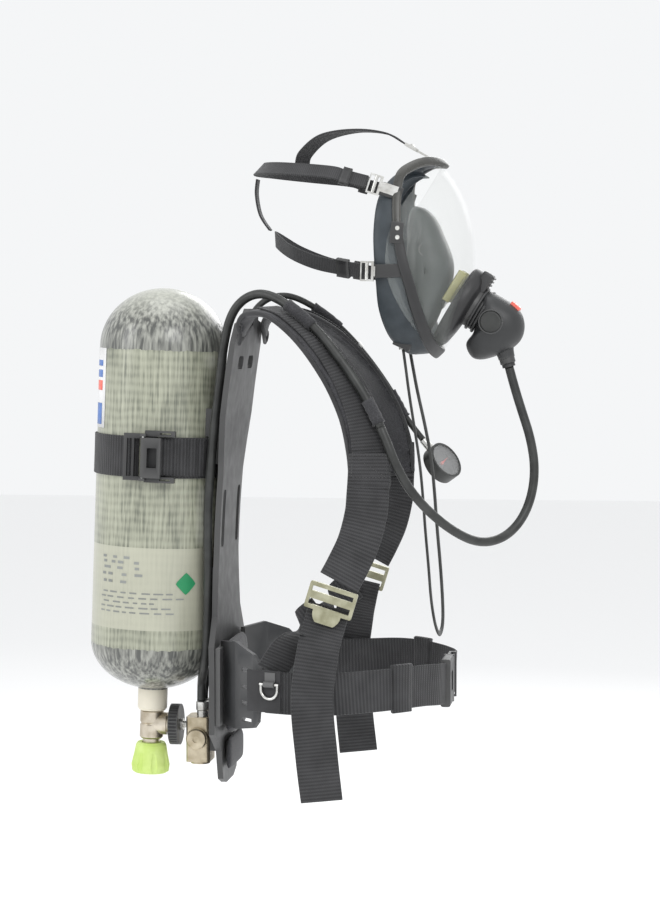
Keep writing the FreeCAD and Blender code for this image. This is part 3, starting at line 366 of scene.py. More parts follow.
finishes = {
    "wrap": bottleMaterial(),
    "collar": mouldedPlastic("collarLacquer", (0.60, 0.56, 0.45), (0.7, 0.66, 0.56), 0.4),
    "nickel": turnedMetal("nickelBrass", (0.66, 0.60, 0.50), (0.42, 0.36, 0.27)),
    "brass": turnedMetal("oldBrass", (0.60, 0.53, 0.40), (0.36, 0.30, 0.20), 0.34),
    "steel": turnedMetal("platedSteel", (0.72, 0.72, 0.70), (0.48, 0.47, 0.44), 0.25, (1, 1, 4)),
    "olive": turnedMetal("olivePlate", (0.50, 0.49, 0.36), (0.30, 0.29, 0.19), 0.33, (3, 1, 1)),
    "lime": rubberMaterial("limeRubber", (0.50, 0.66, 0.16), (0.66, 0.80, 0.30), 0.62),
    "black": mouldedPlastic("blackMoulding", (0.012, 0.012, 0.013), (0.06, 0.06, 0.06), 0.42),
    "graphite": mouldedPlastic("graphiteMoulding", (0.030, 0.031, 0.033), (0.10, 0.10, 0.10), 0.5),
    "rubber": rubberMaterial("hoseRubber", (0.016, 0.017, 0.016), (0.045, 0.047, 0.045), 0.42),
    "silicone": rubberMaterial("sealSilicone", (0.026, 0.034, 0.041), (0.048, 0.060, 0.070), 0.5),
    "innerSilicone": rubberMaterial("cupSilicone", (0.022, 0.028, 0.028), (0.045, 0.054, 0.053), 0.42),
    "webbing": weaveMaterial("blackWebbing", (0.010, 0.010, 0.011), (0.055, 0.055, 0.058)),
    "harness": weaveMaterial("harnessRubberWeb", (0.010, 0.010, 0.011), (0.045, 0.045, 0.048), (1500, 2600),
                             0.3),
    "padding": meshFabric("padCover", (0.010, 0.010, 0.012), (0.050, 0.050, 0.055)),
    "visor": clearMaterial("visorClear", (0.80, 0.84, 0.80), 0.06),
    "lens": clearMaterial("lensClear", (0.95, 0.96, 0.96), 0.16),
    "red": mouldedPlastic("redButton", (0.72, 0.025, 0.02), (0.85, 0.16, 0.12), 0.35),
    "white": mouldedPlastic("whitePrint", (0.78, 0.79, 0.80), (0.7, 0.7, 0.7), 0.4),
    "blue": mouldedPlastic("bluePrint", (0.03, 0.12, 0.42), (0.1, 0.2, 0.5), 0.4),
    "green": mouldedPlastic("greenPrint", (0.02, 0.22, 0.09), (0.1, 0.3, 0.15), 0.4),
    "ink": mouldedPlastic("greyPrint", (0.20, 0.21, 0.20), (0.3, 0.3, 0.3), 0.5),
    "amber": clearMaterial("amberPlastic", (0.42, 0.40, 0.16), 0.75, 0.2),
    "frameGrey": mouldedPlastic("frameMoulding", (0.030, 0.030, 0.027), (0.085, 0.083, 0.075), 0.26),
    "valveBlack": mouldedPlastic("valveMoulding", (0.018, 0.019, 0.020), (0.07, 0.07, 0.07), 0.42),
    "thread": rubberMaterial("sewingThread", (0.05, 0.05, 0.052), (0.09, 0.09, 0.09), 0.8),
}

nodeFinish = {
    "wrap": ["cylinder_shell"], "collar": ["neck_collar"], "nickel": ["valve_body", "gland_nut"],
              "lime": ["handwheel"],
    "brass": ["reducer_body", "reducer_caps", "reducer_piston", "relief_valve"],
    "steel": ["valve_spindle", "inlet_stem", "reducer_spring", "hose_unions", "cam_pin", "warning_whistle",
              "d_ring_right",
              "d_ring_left", "frame_fasteners", "speech_diaphragm", "harness_buckles"],
    "olive": ["shoulder_buckle_right", "shoulder_buckle_left"],
    "black": ["coupling_wheel", "cylinder_saddles", "strap_buckle", "cam_lever", "belt_buckle_female",
              "belt_buckle_male",
              "lock_ring", "hose_nut", "inhalation_valves", "back_plate", "reducer_bracket"],
    "graphite": ["hip_wings"],
    "rubber": ["gauge_case", "press_button"],
    "silicone": ["diaphragm"],
    "visor": ["visor"], "lens": ["gauge_lens"],
    "red": ["red_button", "gauge_needle"],
}


def finishNodes():
    for finish, names in nodeFinish.items():
        for name in names:
            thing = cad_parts[name]
            for slot in thing.material_slots:
                slot.material = finishes[finish]


finishNodes()
print("stage: finishes on the carried-over parts")


# ---- shape kit: meshes are swept along lines and given their own across/along measure
def newPiece(name, verts, faces, finish, body, smooth=True, measure=None):
    mesh = bpy.data.meshes.new(name)
    mesh.from_pydata([tuple(v) for v in verts], [], faces)
    mesh.validate()
    fixer = bmesh.new()
    fixer.from_mesh(mesh)
    bmesh.ops.recalc_face_normals(fixer, faces=fixer.faces)
    fixer.to_mesh(mesh)
    fixer.free()
    if measure:
        layer = mesh.attributes.new("strapPoint", "FLOAT_VECTOR", "POINT")
        for place, value in zip(layer.data, measure):
            place.vector = value
    for face in mesh.polygons:
        face.use_smooth = smooth
    piece = bpy.data.objects.new(name, mesh)
    bpy.context.collection.objects.link(piece)
    piece.data.materials.append(finishes[finish])
    if body:
        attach(piece, body)
    return piece


def route(*points):
    return [mm(*p) for p in points]


def flipped(points):
    return [Vector((p.x, -p.y, p.z)) for p in points]


def splineStep(p0, p1, p2, p3, t):
    return 0.5 * (2 * p1 + (p2 - p0) * t + (2 * p0 - 5 * p1 + 4 * p2 - p3) * t * t
                  + (3 * p1 - p0 - 3 * p2 + p3) * t * t * t)


def ringFaces(rings, size):
    # quads between rings of equal size
    faces = []
    for n in range(rings - 1):
        for k in range(size):
            a, b = n * size + k, n * size + (k + 1) % size
            faces.append((a, b, b + size, a + size))
    return faces


def capFaces(total, size):
    return [tuple(range(size - 1, -1, -1)), tuple(range(total - size, total))]


def smoothLine(points, perSpan=8):
    # a curve through every point; each sample also says how far along the list it is
    samples = []
    last = len(points) - 1
    for i in range(last):
        p0, p1, p2, p3 = points[max(i - 1, 0)], points[i], points[i + 1], points[min(i + 2, last)]
        for k in range(perSpan):
            t = k / perSpan
            samples.append((splineStep(p0, p1, p2, p3, t), i + t))
    samples.append((points[-1].copy(), float(last)))
    return samples


def framesAlong(points, sides, perSpan=8):
    # position, direction along, direction across, face direction and distance at each sample
    samples = smoothLine(points, perSpan)
    frames = []
    travelled = 0.0
    for n, (place, share) in enumerate(samples):
        before = samples[max(n - 1, 0)][0]
        after = samples[min(n + 1, len(samples) - 1)][0]
        along = (after - before).normalized()
        k = min(int(share), len(sides) - 2)
        side = sides[k].normalized().lerp(sides[k + 1].normalized(), share - k)
        side = (side - along * side.dot(along)).normalized()
        travelled += (place - before).length
        frames.append((place, along, side, along.cross(side), travelled))
    return frames


def sweep(frames, profileAt):
    # profileAt(distance, share) gives (across, out) pairs; the first and last rings are capped
    verts, measure = [], []
    total = frames[-1][4]
    for place, along, side, face, travelled in frames:
        ring = profileAt(travelled, travelled / total)
        for across, out in ring:
            verts.append(place + side * across + face * out)
            measure.append((across, travelled, out))
    size = len(ring)
    return verts, ringFaces(len(frames), size) + capFaces(len(verts), size), measure


def webProfile(width, thick):
    # flat woven strap with a slightly thicker rounded selvedge
    half = width / 2
    upper = [(-1.0, 0.0), (-0.985, 0.62), (-0.95, 1.12), (-0.90, 1.0), (-0.45, 0.94), (0.0, 0.92),
             (0.45, 0.94),
             (0.90, 1.0), (0.95, 1.12), (0.985, 0.62), (1.0, 0.0)]
    lower = [(a, -b) for a, b in upper[-2:0:-1]]
    return [(a * half, b * thick / 2) for a, b in upper + lower]


def strap(name, points, sides, width, thick, body="root", finish="webbing", perSpan=8,
          ripple=None):
    frames = framesAlong(points, sides, perSpan)
    base = webProfile(width, thick)

    def profileAt(travelled, share):
        if not ripple:
            return base
        lift = ripple(travelled, share)
        return [(a, b + lift * (0.6 + 0.4 * math.cos(a / width * 5))) for a, b in base]
    verts, faces, measure = sweep(frames, profileAt)
    piece = newPiece(name, verts, faces, finish, body, True, measure)
    return piece, frames


def threadDashes(name, lines, body, radius=0.00032, dash=0.0024, gap=0.0014, finish="thread"):
    # sewing: short raised threads along each line of (place, outward) pairs
    verts, faces = [], []
    for line in lines:
        for (start, out), (end, _) in zip(line, line[1:]):
            span = end - start
            count = max(1, int(span.length / (dash + gap)))
            for n in range(count):
                a = start + span * (n / count)
                b = a + span.normalized() * min(dash, span.length)
                side = span.cross(out).normalized() * radius * 1.4
                lift = out.normalized() * radius
                base = len(verts)
                verts += [a, a + (b - a) * 0.2 + side, a + (b - a) * 0.2 + lift, a + (b - a) * 0.2 - side,
                          a + (b - a) * 0.8 + side, a + (b - a) * 0.8 + lift, a + (b - a) * 0.8 - side, b]
                for quad in ((0, 1, 2), (0, 2, 3), (1, 4, 5, 2), (2, 5, 6, 3), (4, 7, 5), (5, 7, 6),
                             (0, 3, 1),
                             (3, 6, 4, 1), (6, 7, 4)):
                    faces.append(tuple(base + q for q in quad))
    return newPiece(name, verts, faces, finish, body, False)


def stitchBox(frames, first, last, width, thick, cross=True):
    # the lines of a box stitch on the outer face of a strap, between two samples
    def at(n, across):
        place, _, side, face, _ = frames[n]
        return (place + side * across + face * (thick / 2 + 0.0001), face)
    half = width / 2 - 0.004
    step = max(1, (last - first) // 5)
    rows = list(range(first, last, step)) + [last]
    lines = [[at(n, half) for n in rows], [at(n, -half) for n in rows],
             [at(first, half), at(first, -half)], [at(last, half), at(last, -half)]]
    if cross:
        lines += [[at(first, half), at(last, -half)], [at(first, -half), at(last, half)]]
    return lines


def cordLine(points, fineness=8):
    # points read from the route's own smooth spline
    curve = bpy.data.curves.new("routeGuide", "CURVE")
    curve.dimensions = "3D"
    spline = curve.splines.new("NURBS")
    spline.points.add(len(points) - 1)
    for place, point in zip(spline.points, points):
        place.co = (*point, 1)
    spline.order_u = 3
    spline.use_endpoint_u = True
    spline.resolution_u = fineness
    guide = bpy.data.objects.new("routeGuide", curve)
    bpy.context.collection.objects.link(guide)
    line = [vertex.co.copy() for vertex in bpy.data.meshes.new_from_object(guide).vertices]
    bpy.data.objects.remove(guide)
    return line


def tube(name, line, radiusAt, finish, body, sides=20, flat=1.0, across=Vector((0, 1, 0))):
    # round or oval tube; the cross-section is carried along without twisting
    verts = []
    travelled = 0.0
    total = sum((b - a).length for a, b in zip(line, line[1:]))
    side = None
    for n, place in enumerate(line):
        along = (line[min(n + 1, len(line) - 1)] - line[max(n - 1, 0)]).normalized()
        side = across if side is None else side
        side = (side - along * side.dot(along)).normalized()
        out = along.cross(side)
        travelled += (place - line[max(n - 1, 0)]).length
        radius = radiusAt(travelled, total)
        for k in range(sides):
            angle = 2 * math.pi * k / sides
            verts.append(place + side * (radius * math.cos(angle)) + out * (radius * flat * math.sin(angle)))
    faces = ringFaces(len(line), sides) + capFaces(len(verts), sides)
    return newPiece(name, verts, faces, finish, body)


def addSubdivision(piece, levels=1):
    modifier = piece.modifiers.new("finer", "SUBSURF")
    modifier.levels = levels
    modifier.render_levels = levels


def roundBlock(name, centre, size, turn, finish, body, edge=0.0012):
    # small moulded block with rolled edges; turn is a rotation matrix
    fixer = bmesh.new()
    bmesh.ops.create_cube(fixer, size=1)
    bmesh.ops.scale(fixer, vec=size, verts=fixer.verts)
    bmesh.ops.bevel(fixer, geom=list(fixer.edges), offset=min(edge, min(size) * 0.45), segments=3,
                    affect="EDGES", profile=0.6)
    verts = [centre + turn @ v.co for v in fixer.verts]
    fixer.verts.index_update()
    faces = [tuple(v.index for v in face.verts) for face in fixer.faces]
    fixer.free()
    return newPiece(name, verts, faces, finish, body, True)


def turnTo(along, out):
    # matrix whose columns are along, across and out
    x = along.normalized()
    z = (out - x * out.dot(x)).normalized()
    return Matrix((x, z.cross(x), z)).transposed()


def swell(piece, cap, voxel=0.0048, pressure=4.0):
    # cloth inflated a little under its own pressure, with each point's travel capped
    remesh = piece.modifiers.new("evenMesh", "REMESH")
    remesh.mode = "VOXEL"
    remesh.voxel_size = voxel
    graph = bpy.context.evaluated_depsgraph_get()
    even = bpy.data.meshes.new_from_object(piece.evaluated_get(graph))
    piece.modifiers.clear()
    material = piece.data.materials[0]
    piece.data = even
    piece.data.materials.clear()
    piece.data.materials.append(material)
    for face in even.polygons:
        face.use_smooth = True
    before = [vertex.co.copy() for vertex in even.vertices]
    cloth = piece.modifiers.new("cloth", "CLOTH")
    cloth.settings.quality = 4
    cloth.settings.mass = 0.3
    cloth.settings.tension_stiffness = 25
    cloth.settings.compression_stiffness = 25
    cloth.settings.bending_stiffness = 0.4
    cloth.settings.use_pressure = True
    cloth.settings.uniform_pressure_force = pressure
    cloth.settings.effector_weights.gravity = 0
    cloth.point_cache.frame_start = 1
    cloth.point_cache.frame_end = 20
    for step in range(1, 21):
        bpy.context.scene.frame_set(step)
    graph = bpy.context.evaluated_depsgraph_get()
    after = [vertex.co.copy() for vertex in piece.evaluated_get(graph).data.vertices]
    piece.modifiers.clear()
    for vertex, old, new in zip(even.vertices, before, after):
        move = new - old
        if move.length > cap:
            move = move.normalized() * cap
        vertex.co = old + move
    bpy.context.scene.frame_set(1)


# ---- cords first: the free air hose and the mask's neck strap
hoseLook = {"radius": 0.0055, "length": 0.473, "gaugeRadius": 0.004}
hoseUp = route((-49, -11, -17), (-49, -11, 2), (-44, -30, 18), (-36, -51, 42), (-32, -58, 86),
               (-31, -60, 160),
               (-31, -61, 235), (-24, -62, 310), (-16, -64, 375), (-10, -67, 425), (0, -71, 464),
               (19, -77, 484),
               (44, -89, 489), (73, -102, 476), (112, -116, 445), (149, -126, 400), (179, -131, 354),
               (190, -136, 330))
hoseFree = route((190, -136, 330), (198, -139.6, 312.5), (208, -139, 287), (222, -131, 259), (243, -112, 231),
                 (270, -86, 205), (299, -58, 188), (326, -34, 191), (347, -16, 210), (360, -6, 240),
                 (364, -2, 276),
                 (358, -1, 313), (347, 0, 346), (337.7, 0, 375.8), (331.5, 0, 399))
neckRoute = route((205, -32, 421), (208, -31, 400), (212, -30, 368), (218, -29, 330), (225, -28, 285),
                  (229, -27, 243),
                  (232, -27, 200), (236, -27, 158), (239, -27, 117), (243, -27, 91), (245.5, -19.8, 78),
                  (247, -7.2, 71),
                  (248, 7.2, 71), (249, 19.8, 78), (249, 27, 91), (248, 27.5, 117), (245, 28, 158),
                  (241, 28, 200),
                  (238, 28, 243), (234, 28, 285), (225, 29, 330), (216, 30, 368), (210, 31, 400),
                  (206, 32, 421))


def makeCords():
    line = cordLine(hoseFree, 12)
    hose = tube("supplyHose", line, lambda s, total: hoseLook["radius"], "rubber", None, 24)
    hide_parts("supply_hose")
    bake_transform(hose)
    neck = cordLine(neckRoute, 10)
    band = tube("neckStrap", neck, lambda s, total: 0.0035, "rubber", "mask", 16, 0.5)
    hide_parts("neck_strap")


makeCords()
print("stage: free hose and neck strap")


# ---- hoses that the harness holds all the way
def makeHeldHoses():
    right = tube("hoseRunRight", cordLine(hoseUp, 10), lambda s, total: hoseLook["radius"], "rubber",
                 "root", 20)
    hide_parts("hose_run_right")
    leftRoute = flipped(hoseUp) + route((212, 139, 303))
    left = tube("hoseRunLeft", cordLine(leftRoute, 10), lambda s, total: hoseLook["gaugeRadius"], "rubber",
                "root", 18)
    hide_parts("hose_run_left")
    # fabric sleeves and hook tabs round each hose
    for side, points in (("Right", hoseUp), ("Left", leftRoute)):
        line = cordLine(points, 10)
        base = hoseLook["radius"] if side == "Right" else hoseLook["gaugeRadius"]
        for tag, low, high in (("Upper", 13.05, 13.95), ("Tab", 15.75, 16.95)):
            picked = [p for p in line if points[int(low)].lerp(points[int(low) + 1], low % 1).z >= p.z
                      >= points[int(high)].lerp(points[int(high) + 1], high % 1).z and p.x > points[12].x]

            def wrinkled(travelled, total, base=base):
                rim = 0.0006 if travelled < 0.002 or total - travelled < 0.002 else 0.0
                return base + 0.0019 + rim + 0.0004 * math.sin(travelled * 700)
            tube("hoseSleeve" + tag + side, picked, wrinkled, "padding", "root", 20)
    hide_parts("hose_sleeves")


makeHeldHoses()
print("stage: held hoses and sleeves")


# ---- shoulder harness
padRoute = route((17, -66, 438), (23, -74, 456), (39, -86, 465), (65, -99, 461), (103, -111, 434),
                 (138, -119, 392),
                 (163, -127, 345), (175, -134, 300), (178, -140, 258))
padSides = [Vector(v) for v in ((0, 1, 0), (0, 1, 0), (0.1, 1, 0), (0.25, 1, 0.1), (0.4, 0.9, 0.15),
                                (0.55, 0.8, 0.15),
                                (0.75, 0.66, 0.1), (0.9, 0.4, 0), (1, 0.2, 0))]
webRoute = route((178, -147.5, 300), (177.5, -147, 275), (176, -145, 252), (174, -147, 228), (166, -151, 196),
                 (154, -155, 169), (143.5, -156.5, 149))
webSides = [Vector(v) for v in ((0.9, 0.4, 0), (1, 0.3, 0), (1, 0.2, 0), (1, 0.1, -0.1), (1, 0, -0.25),
                                (1, 0, -0.3), (1, 0, -0.32))]
tailRoute = route((131, -151, 120), (126, -154, 98), (120, -165, 70), (114, -172, 12), (119, -171, -54),
                  (125, -169, -108))
tailSides = [Vector(v) for v in ((1, 0, -0.3), (1, 0, -0.2), (1, 0, -0.1), (0.9, 0.22, 0), (1, 0.1, -0.1),
                                 (1, 0, -0.1))]
lowerRoute = route((122, -147, 114), (102, -147, 98), (82, -144, 74), (67, -140, 50), (60, -138, 40))
lowerSides = [Vector(v) for v in ((0.7, 0, 0.7), (0.6, 0, 0.8), (0.75, 0.1, 0.65), (0.9, 0.2, 0.3),
                                  (1, 0.3, 0))]
harnessLook = {"web": 0.050, "thick": 0.0024, "padWidth": 0.062, "padThick": 0.011, "bind": 0.0016,
               "lower": 0.040}


def padProfile(width, thick):
    # crowned foam pad whose edges are pinched by the binding
    ring = []
    for k in range(32):
        angle = 2 * math.pi * k / 32
        c, s = math.cos(angle), math.sin(angle)
        ring.append((width / 2 * math.copysign(abs(c) ** 0.55, c),
                     thick / 2 * math.copysign(abs(s) ** 0.75, s)))
    return ring


def makeShoulderPad(tag, mirror):
    points = flipped(padRoute) if mirror else padRoute
    sides = [Vector((v.x, -v.y, v.z)) for v in padSides] if mirror else padSides
    frames = framesAlong(points, sides, 10)
    look = harnessLook

    def profileAt(travelled, share):
        width = look["padWidth"] - 0.014 * max(0, 2 * share - 1) - 0.002
        thick = look["padThick"] * (0.42 + 0.5 * min(1, 4 * share, 4 * (1 - share)))
        return padProfile(width, thick)
    verts, faces, _ = sweep(frames, profileAt)
    pad = newPiece("shoulderPad" + tag, verts, faces, "padding", "root")
    swell(pad, 0.0012, 0.0045)
    addSubdivision(pad)
    # binding tape round the edge of the pad
    half = look["padWidth"] / 2 - 0.0015
    edge = []
    for n, (place, _, side, _, travelled) in enumerate(frames):
        share = travelled / frames[-1][4]
        edge.append(place + side * (half - 0.007 * max(0, 2 * share - 1)))
    back = []
    for place, _, side, _, travelled in frames[::-1]:
        share = travelled / frames[-1][4]
        back.append(place - side * (half - 0.007 * max(0, 2 * share - 1)))
    tube("padBinding" + tag, edge[::2] + back[::2] + [edge[0]], lambda s, total: look["bind"] * 1.5,
         "webbing", "root", 10)
    return pad, frames


def makeShoulders():
    for tag, mirror in (("Right", False), ("Left", True)):
        def side(points):
            return flipped(points) if mirror else points

        def turned(vectors):
            return [Vector((v.x, -v.y, v.z)) for v in vectors] if mirror else vectors
        pad, frames = makeShoulderPad(tag, mirror)
        look = harnessLook
        over = [f[0] + f[3] * (0.0062 if not mirror else -0.0062) for f in frames[24::8]]
        overSides = [f[2] for f in frames[24::8]]
        strap("padWeb" + tag, over, overSides, 0.044, 0.0018, perSpan=6)
        web, webFrames = strap("shoulderWeb" + tag, side(webRoute), turned(webSides), look["web"],
                               look["thick"])
        threadDashes("webSewing" + tag, stitchBox(webFrames, 1, 9, look["web"],
                                                  -look["thick"] if mirror else look["thick"]), "root")
        tail, _ = strap("pullTail" + tag, side(tailRoute), turned(tailSides), look["web"], look["thick"],
                        perSpan=10,
                        ripple=lambda s, share: 0.0012 * math.sin(s * 38) * min(1, share * 3))
        strap("lowerWeb" + tag, side(lowerRoute), turned(lowerSides), look["lower"], look["thick"])
        if not mirror:
            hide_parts("shoulder_straps")
            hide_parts("pull_straps")
    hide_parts("shoulder_pads")


makeShoulders()
print("stage: shoulder pads and webbing")


# ---- waist belt
beltRoute = route((54, -144.5, 16), (91, -156, 16), (133, -160, 17), (178, -151, 20), (212, -128, 21),
                  (238, -93, 20),
                  (252, -70, 18), (258, -48, 16))
beltLeft = flipped(beltRoute[:5]) + route((240, 103, 19), (256, 84, 17), (260.7, 74, 16))


beltLook = {"web": 0.050, "thick": 0.0024, "keeper": 0.058, "keeperThick": 0.0074, "keeperFrom": 0.206,
            "keeperTo": 0.224}


def makeBelt():
    wide, thick = beltLook["web"], beltLook["thick"]
    low, high = beltLook["keeperFrom"], beltLook["keeperTo"]
    upright = [Vector((0, 0, 1))] * len(beltRoute)
    right, rightFrames = strap("beltRight", beltRoute, upright, wide, thick, perSpan=8,
                               ripple=lambda s, share: 0.0006 * math.sin(s * 52))
    _, leftFrames = strap("beltLeft", beltLeft, upright, wide, thick)
    strap("beltTongue", route((260.7, 73.3, 16), (260.7, 40, 16), (260.7, 8, 16)), upright[:3], wide, thick)
    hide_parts("waist_belt")
    lines = []
    for frames, outward in ((rightFrames, -1), (leftFrames, 1)):
        lines += stitchBox(frames, 2, 9, wide, -thick if outward > 0 else thick)
    threadDashes("beltSewing", lines, "root")
    for tag, frames in (("Right", rightFrames), ("Left", leftFrames)):
        picked = [f for f in frames if low - 0.002 <= f[0].x <= high + 0.002]
        if len(picked) < 3:
            picked = [f for f in frames if low - 0.008 <= f[0].x <= high + 0.008]
        start = picked[0][4]
        picked = [(p, a, s, f, d - start) for p, a, s, f, d in picked]
        outer = webProfile(beltLook["keeper"], beltLook["keeperThick"])
        verts, faces, measure = sweep(picked, lambda travelled, share: outer)
        newPiece("beltKeeper" + tag, verts, faces, "webbing", "root", True,
                                measure)
    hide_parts("belt_keepers")


patchLook = {"size": (0.046, 0.050, 0.0022), "inward": 0.0036, "back": 0.009}


def makeHipPatches():
    # stiff patch behind the belt's rear end, sewn to the hip wing
    for sign, tag in ((-1, "Right"), (1, "Left")):
        along, out = Vector((0.94, sign * 0.342, 0)), Vector((-0.342, sign * 0.94, 0))
        centre = mm(59.8, sign * 152.6, 17) - out * patchLook["inward"] - along * patchLook["back"]
        roundBlock("hipPatch" + tag, centre, patchLook["size"], turnTo(along, out), "webbing",
                   "root")


makeBelt()
makeHipPatches()
print("stage: waist belt")


# ---- cylinder strap
def bottlePoint(height, angle, radius):
    # a point on the leaned cylinder; angle in degrees from straight ahead, towards the wearer's left
    lean = math.radians(bottleLook["lean"])
    out = radius * math.cos(math.radians(angle))
    side = radius * math.sin(math.radians(angle))
    foot = Vector((-0.113, 0, -0.004))
    return foot + Vector((height * math.sin(lean) + out * math.cos(lean), side,
                          height * math.cos(lean) - out * math.sin(lean)))


def bottleAxis():
    lean = math.radians(bottleLook["lean"])
    return Vector((math.sin(lean), 0, math.cos(lean)))


strapLook = {"height": 0.294, "web": 0.050, "thick": 0.0024, "from": -83, "round": 346, "out": 0.0806}


def makeCylinderStrap():
    count = 40
    look = strapLook
    ring = [bottlePoint(look["height"], look["from"] + look["round"] * k / count,
                        look["out"]) for k in range(count + 1)]
    band, _ = strap("cylinderStrap", ring, [bottleAxis()] * len(ring), look["web"], look["thick"], perSpan=4)
    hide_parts("cylinder_strap")
    # the doubled tail beyond the buckle, gathered in small pleats
    pleats = [bottlePoint(0.295, -84 + 50 * k / 10, 0.0838) for k in range(11)]
    strap("strapPleats", pleats, [bottleAxis()] * 11, 0.046, 0.0022, perSpan=8,
          ripple=lambda s, share: 0.0011 * math.sin(s * 520))


makeCylinderStrap()
print("stage: cylinder strap")


# ---- lumbar pad
def makeLumbarPad():
    for name, low, high in (("lumbarPad", (-0.0118, -0.061, -0.053), (-0.001, 0.061, 0.065)),
                            ("lumbarPadLower", (-0.0118, -0.049, -0.099), (-0.005, 0.049, -0.0565))):
        low, high = Vector(low), Vector(high)
        centre, size = (low + high) / 2, high - low
        count = 40
        verts = []
        rings = [(-1.0, 0.90), (-0.8, 0.985), (-0.2, 1.0), (0.4, 0.985), (0.85, 0.94), (1.0, 0.86)]
        for depth, shrink in rings:
            for k in range(count):
                angle = 2 * math.pi * k / count
                c, s = math.cos(angle), math.sin(angle)
                y = size.y / 2 * shrink * math.copysign(abs(c) ** 0.35, c)
                z = size.z / 2 * shrink * math.copysign(abs(s) ** 0.35, s)
                verts.append(centre + Vector((depth * size.x / 2, y, z)))
        faces = ringFaces(len(rings), count) + capFaces(len(verts), count)
        pad = newPiece(name, verts, faces, "padding", "root")
        swell(pad, 0.0012, 0.0045)
        addSubdivision(pad)
    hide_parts("lumbar_pad")


makeLumbarPad()
print("stage: lumbar pad")


# ---- head harness
upperStrap = route((167.5, -87.2, 620), (141, -88, 627), (123, -88, 632), (73, -76, 637), (36, -44, 640),
                   (24, 0, 640))
lowerStrap = route((159, -87, 515), (139, -80, 518), (101, -64, 526), (67, -43, 540), (44, 0, 556))


def bandSides(points):
    sides = []
    for i, point in enumerate(points):
        along = points[min(i + 1, len(points) - 1)] - points[max(i - 1, 0)]
        out = Vector((point.x - 0.105, point.y * 1.1, point.z - 0.560))
        sides.append(along.cross(out).normalized())
    return sides


bandLook = {"web": 0.019, "thick": 0.0020, "keeper": 0.0235, "keeperThick": 0.0062}


def makeHeadHarness():
    look = bandLook
    first = None
    for name, half in (("harnessUpper", upperStrap), ("harnessLower", lowerStrap)):
        points = half + flipped(half[-2::-1])
        piece, frames = strap(name, points, bandSides(points), look["web"], look["thick"], "mask", "harness",
                              8)
        first = first or piece
        ends = (range(6, 11), range(len(frames) - 11, len(frames) - 6))
        for tag, span in zip(("Right", "Left"), ends):
            picked = [frames[n] for n in span]
            start = picked[0][4]
            picked = [(p, a, s, f, d - start) for p, a, s, f, d in picked]
            outer = webProfile(look["keeper"], look["keeperThick"])
            verts, faces, _ = sweep(picked, lambda travelled, share: outer)
            newPiece(name + "Keeper" + tag, verts, faces, "black", "mask")
    back = route((21.5, 0, 629), (20, 0, 610), (25, 0, 585), (37, 0, 566.5))
    strap("harnessBack", back, [Vector((0, 1, 0))] * 4, look["web"], look["thick"], "mask", "harness",
          8)
    crown = route((202, 0, 672), (180, 2, 684), (142, 8, 688), (100, 30, 682), (72, 58, 664), (66, 69, 650))
    crownSides = [Vector(v) for v in ((0, 1, 0), (0.1, 1, 0), (0.3, 1, -0.1), (0.6, 0.8, -0.3),
                                      (0.8, 0.5, -0.3), (0.9, 0.4, -0.2))]
    strap("harnessCrown", crown, crownSides, look["web"], look["thick"], "mask", "harness", 8)
    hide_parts("head_harness")


makeHeadHarness()
print("stage: head harness")


# ---- mask: visor frame, face seal, nose cup and port
frameLine = route((252, 0, 646), (236, -30, 647.6), (217, -52, 640), (204.4, -66, 627), (202, -78.5, 597),
                  (203.6, -87, 560),
                  (210.5, -88, 525), (218, -84, 498), (225, -75.7, 470.5), (234.5, -57.8, 440),
                  (241, -34, 423), (246, 0, 416))
rearLine = route((226, 0, 640), (214, -30, 640), (198, -52, 630), (186, -66, 615), (179, -76, 595),
                 (176, -82, 562),
                 (177, -82, 525), (178.5, -78, 500), (181, -68, 466), (190, -48, 436), (202, -26, 420),
                 (208, 0, 414))
domeCentre = mm(190, 0, 530)


def domeNormal(point):
    away = point - domeCentre
    return Vector((away.x / 0.100 ** 2, away.y / 0.088 ** 2, away.z / 0.140 ** 2)).normalized()


def frameBar(name, points, node, widths, finish):
    # moulded half of the visor's clamping frame
    sides = []
    for n, point in enumerate(points):
        along = points[min(n + 1, len(points) - 1)] - points[max(n - 1, 0)]
        sides.append(along.cross(domeNormal(point)).normalized())
    frames = framesAlong(points, sides, 10)

    def profileAt(travelled, share):
        middle = abs(2 * share - 1)
        width = widths[0] + (widths[1] - widths[0]) * middle
        ring = []
        for k in range(20):
            angle = 2 * math.pi * k / 20
            c, s = math.cos(angle), math.sin(angle)
            ring.append((width / 2 * math.copysign(abs(c) ** 0.6, c),
                         0.0036 * math.copysign(abs(s) ** 0.6, s)))
        return ring
    verts, faces, _ = sweep(frames, profileAt)
    piece = newPiece(name, verts, faces, finish, "mask")
    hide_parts(node)
    return piece


def loftLoops(name, loops, finish, body, thick=0.0):
    # closed loops joined in order into a skin
    verts = [p for loop in loops for p in loop]
    faces = ringFaces(len(loops), len(loops[0]))
    piece = newPiece(name, verts, faces, finish, body)
    if thick:
        solid = piece.modifiers.new("wall", "SOLIDIFY")
        solid.thickness = thick
        solid.offset = 0
    addSubdivision(piece)
    return piece


def closedLoop(half, perSpan=6):
    return closedOutline(half + flipped(half[-2:0:-1]), perSpan)


def shrunk(loop, y, z, x):
    return [Vector((p.x + x, p.y * y, 0.530 + (p.z - 0.530) * z)) for p in loop]


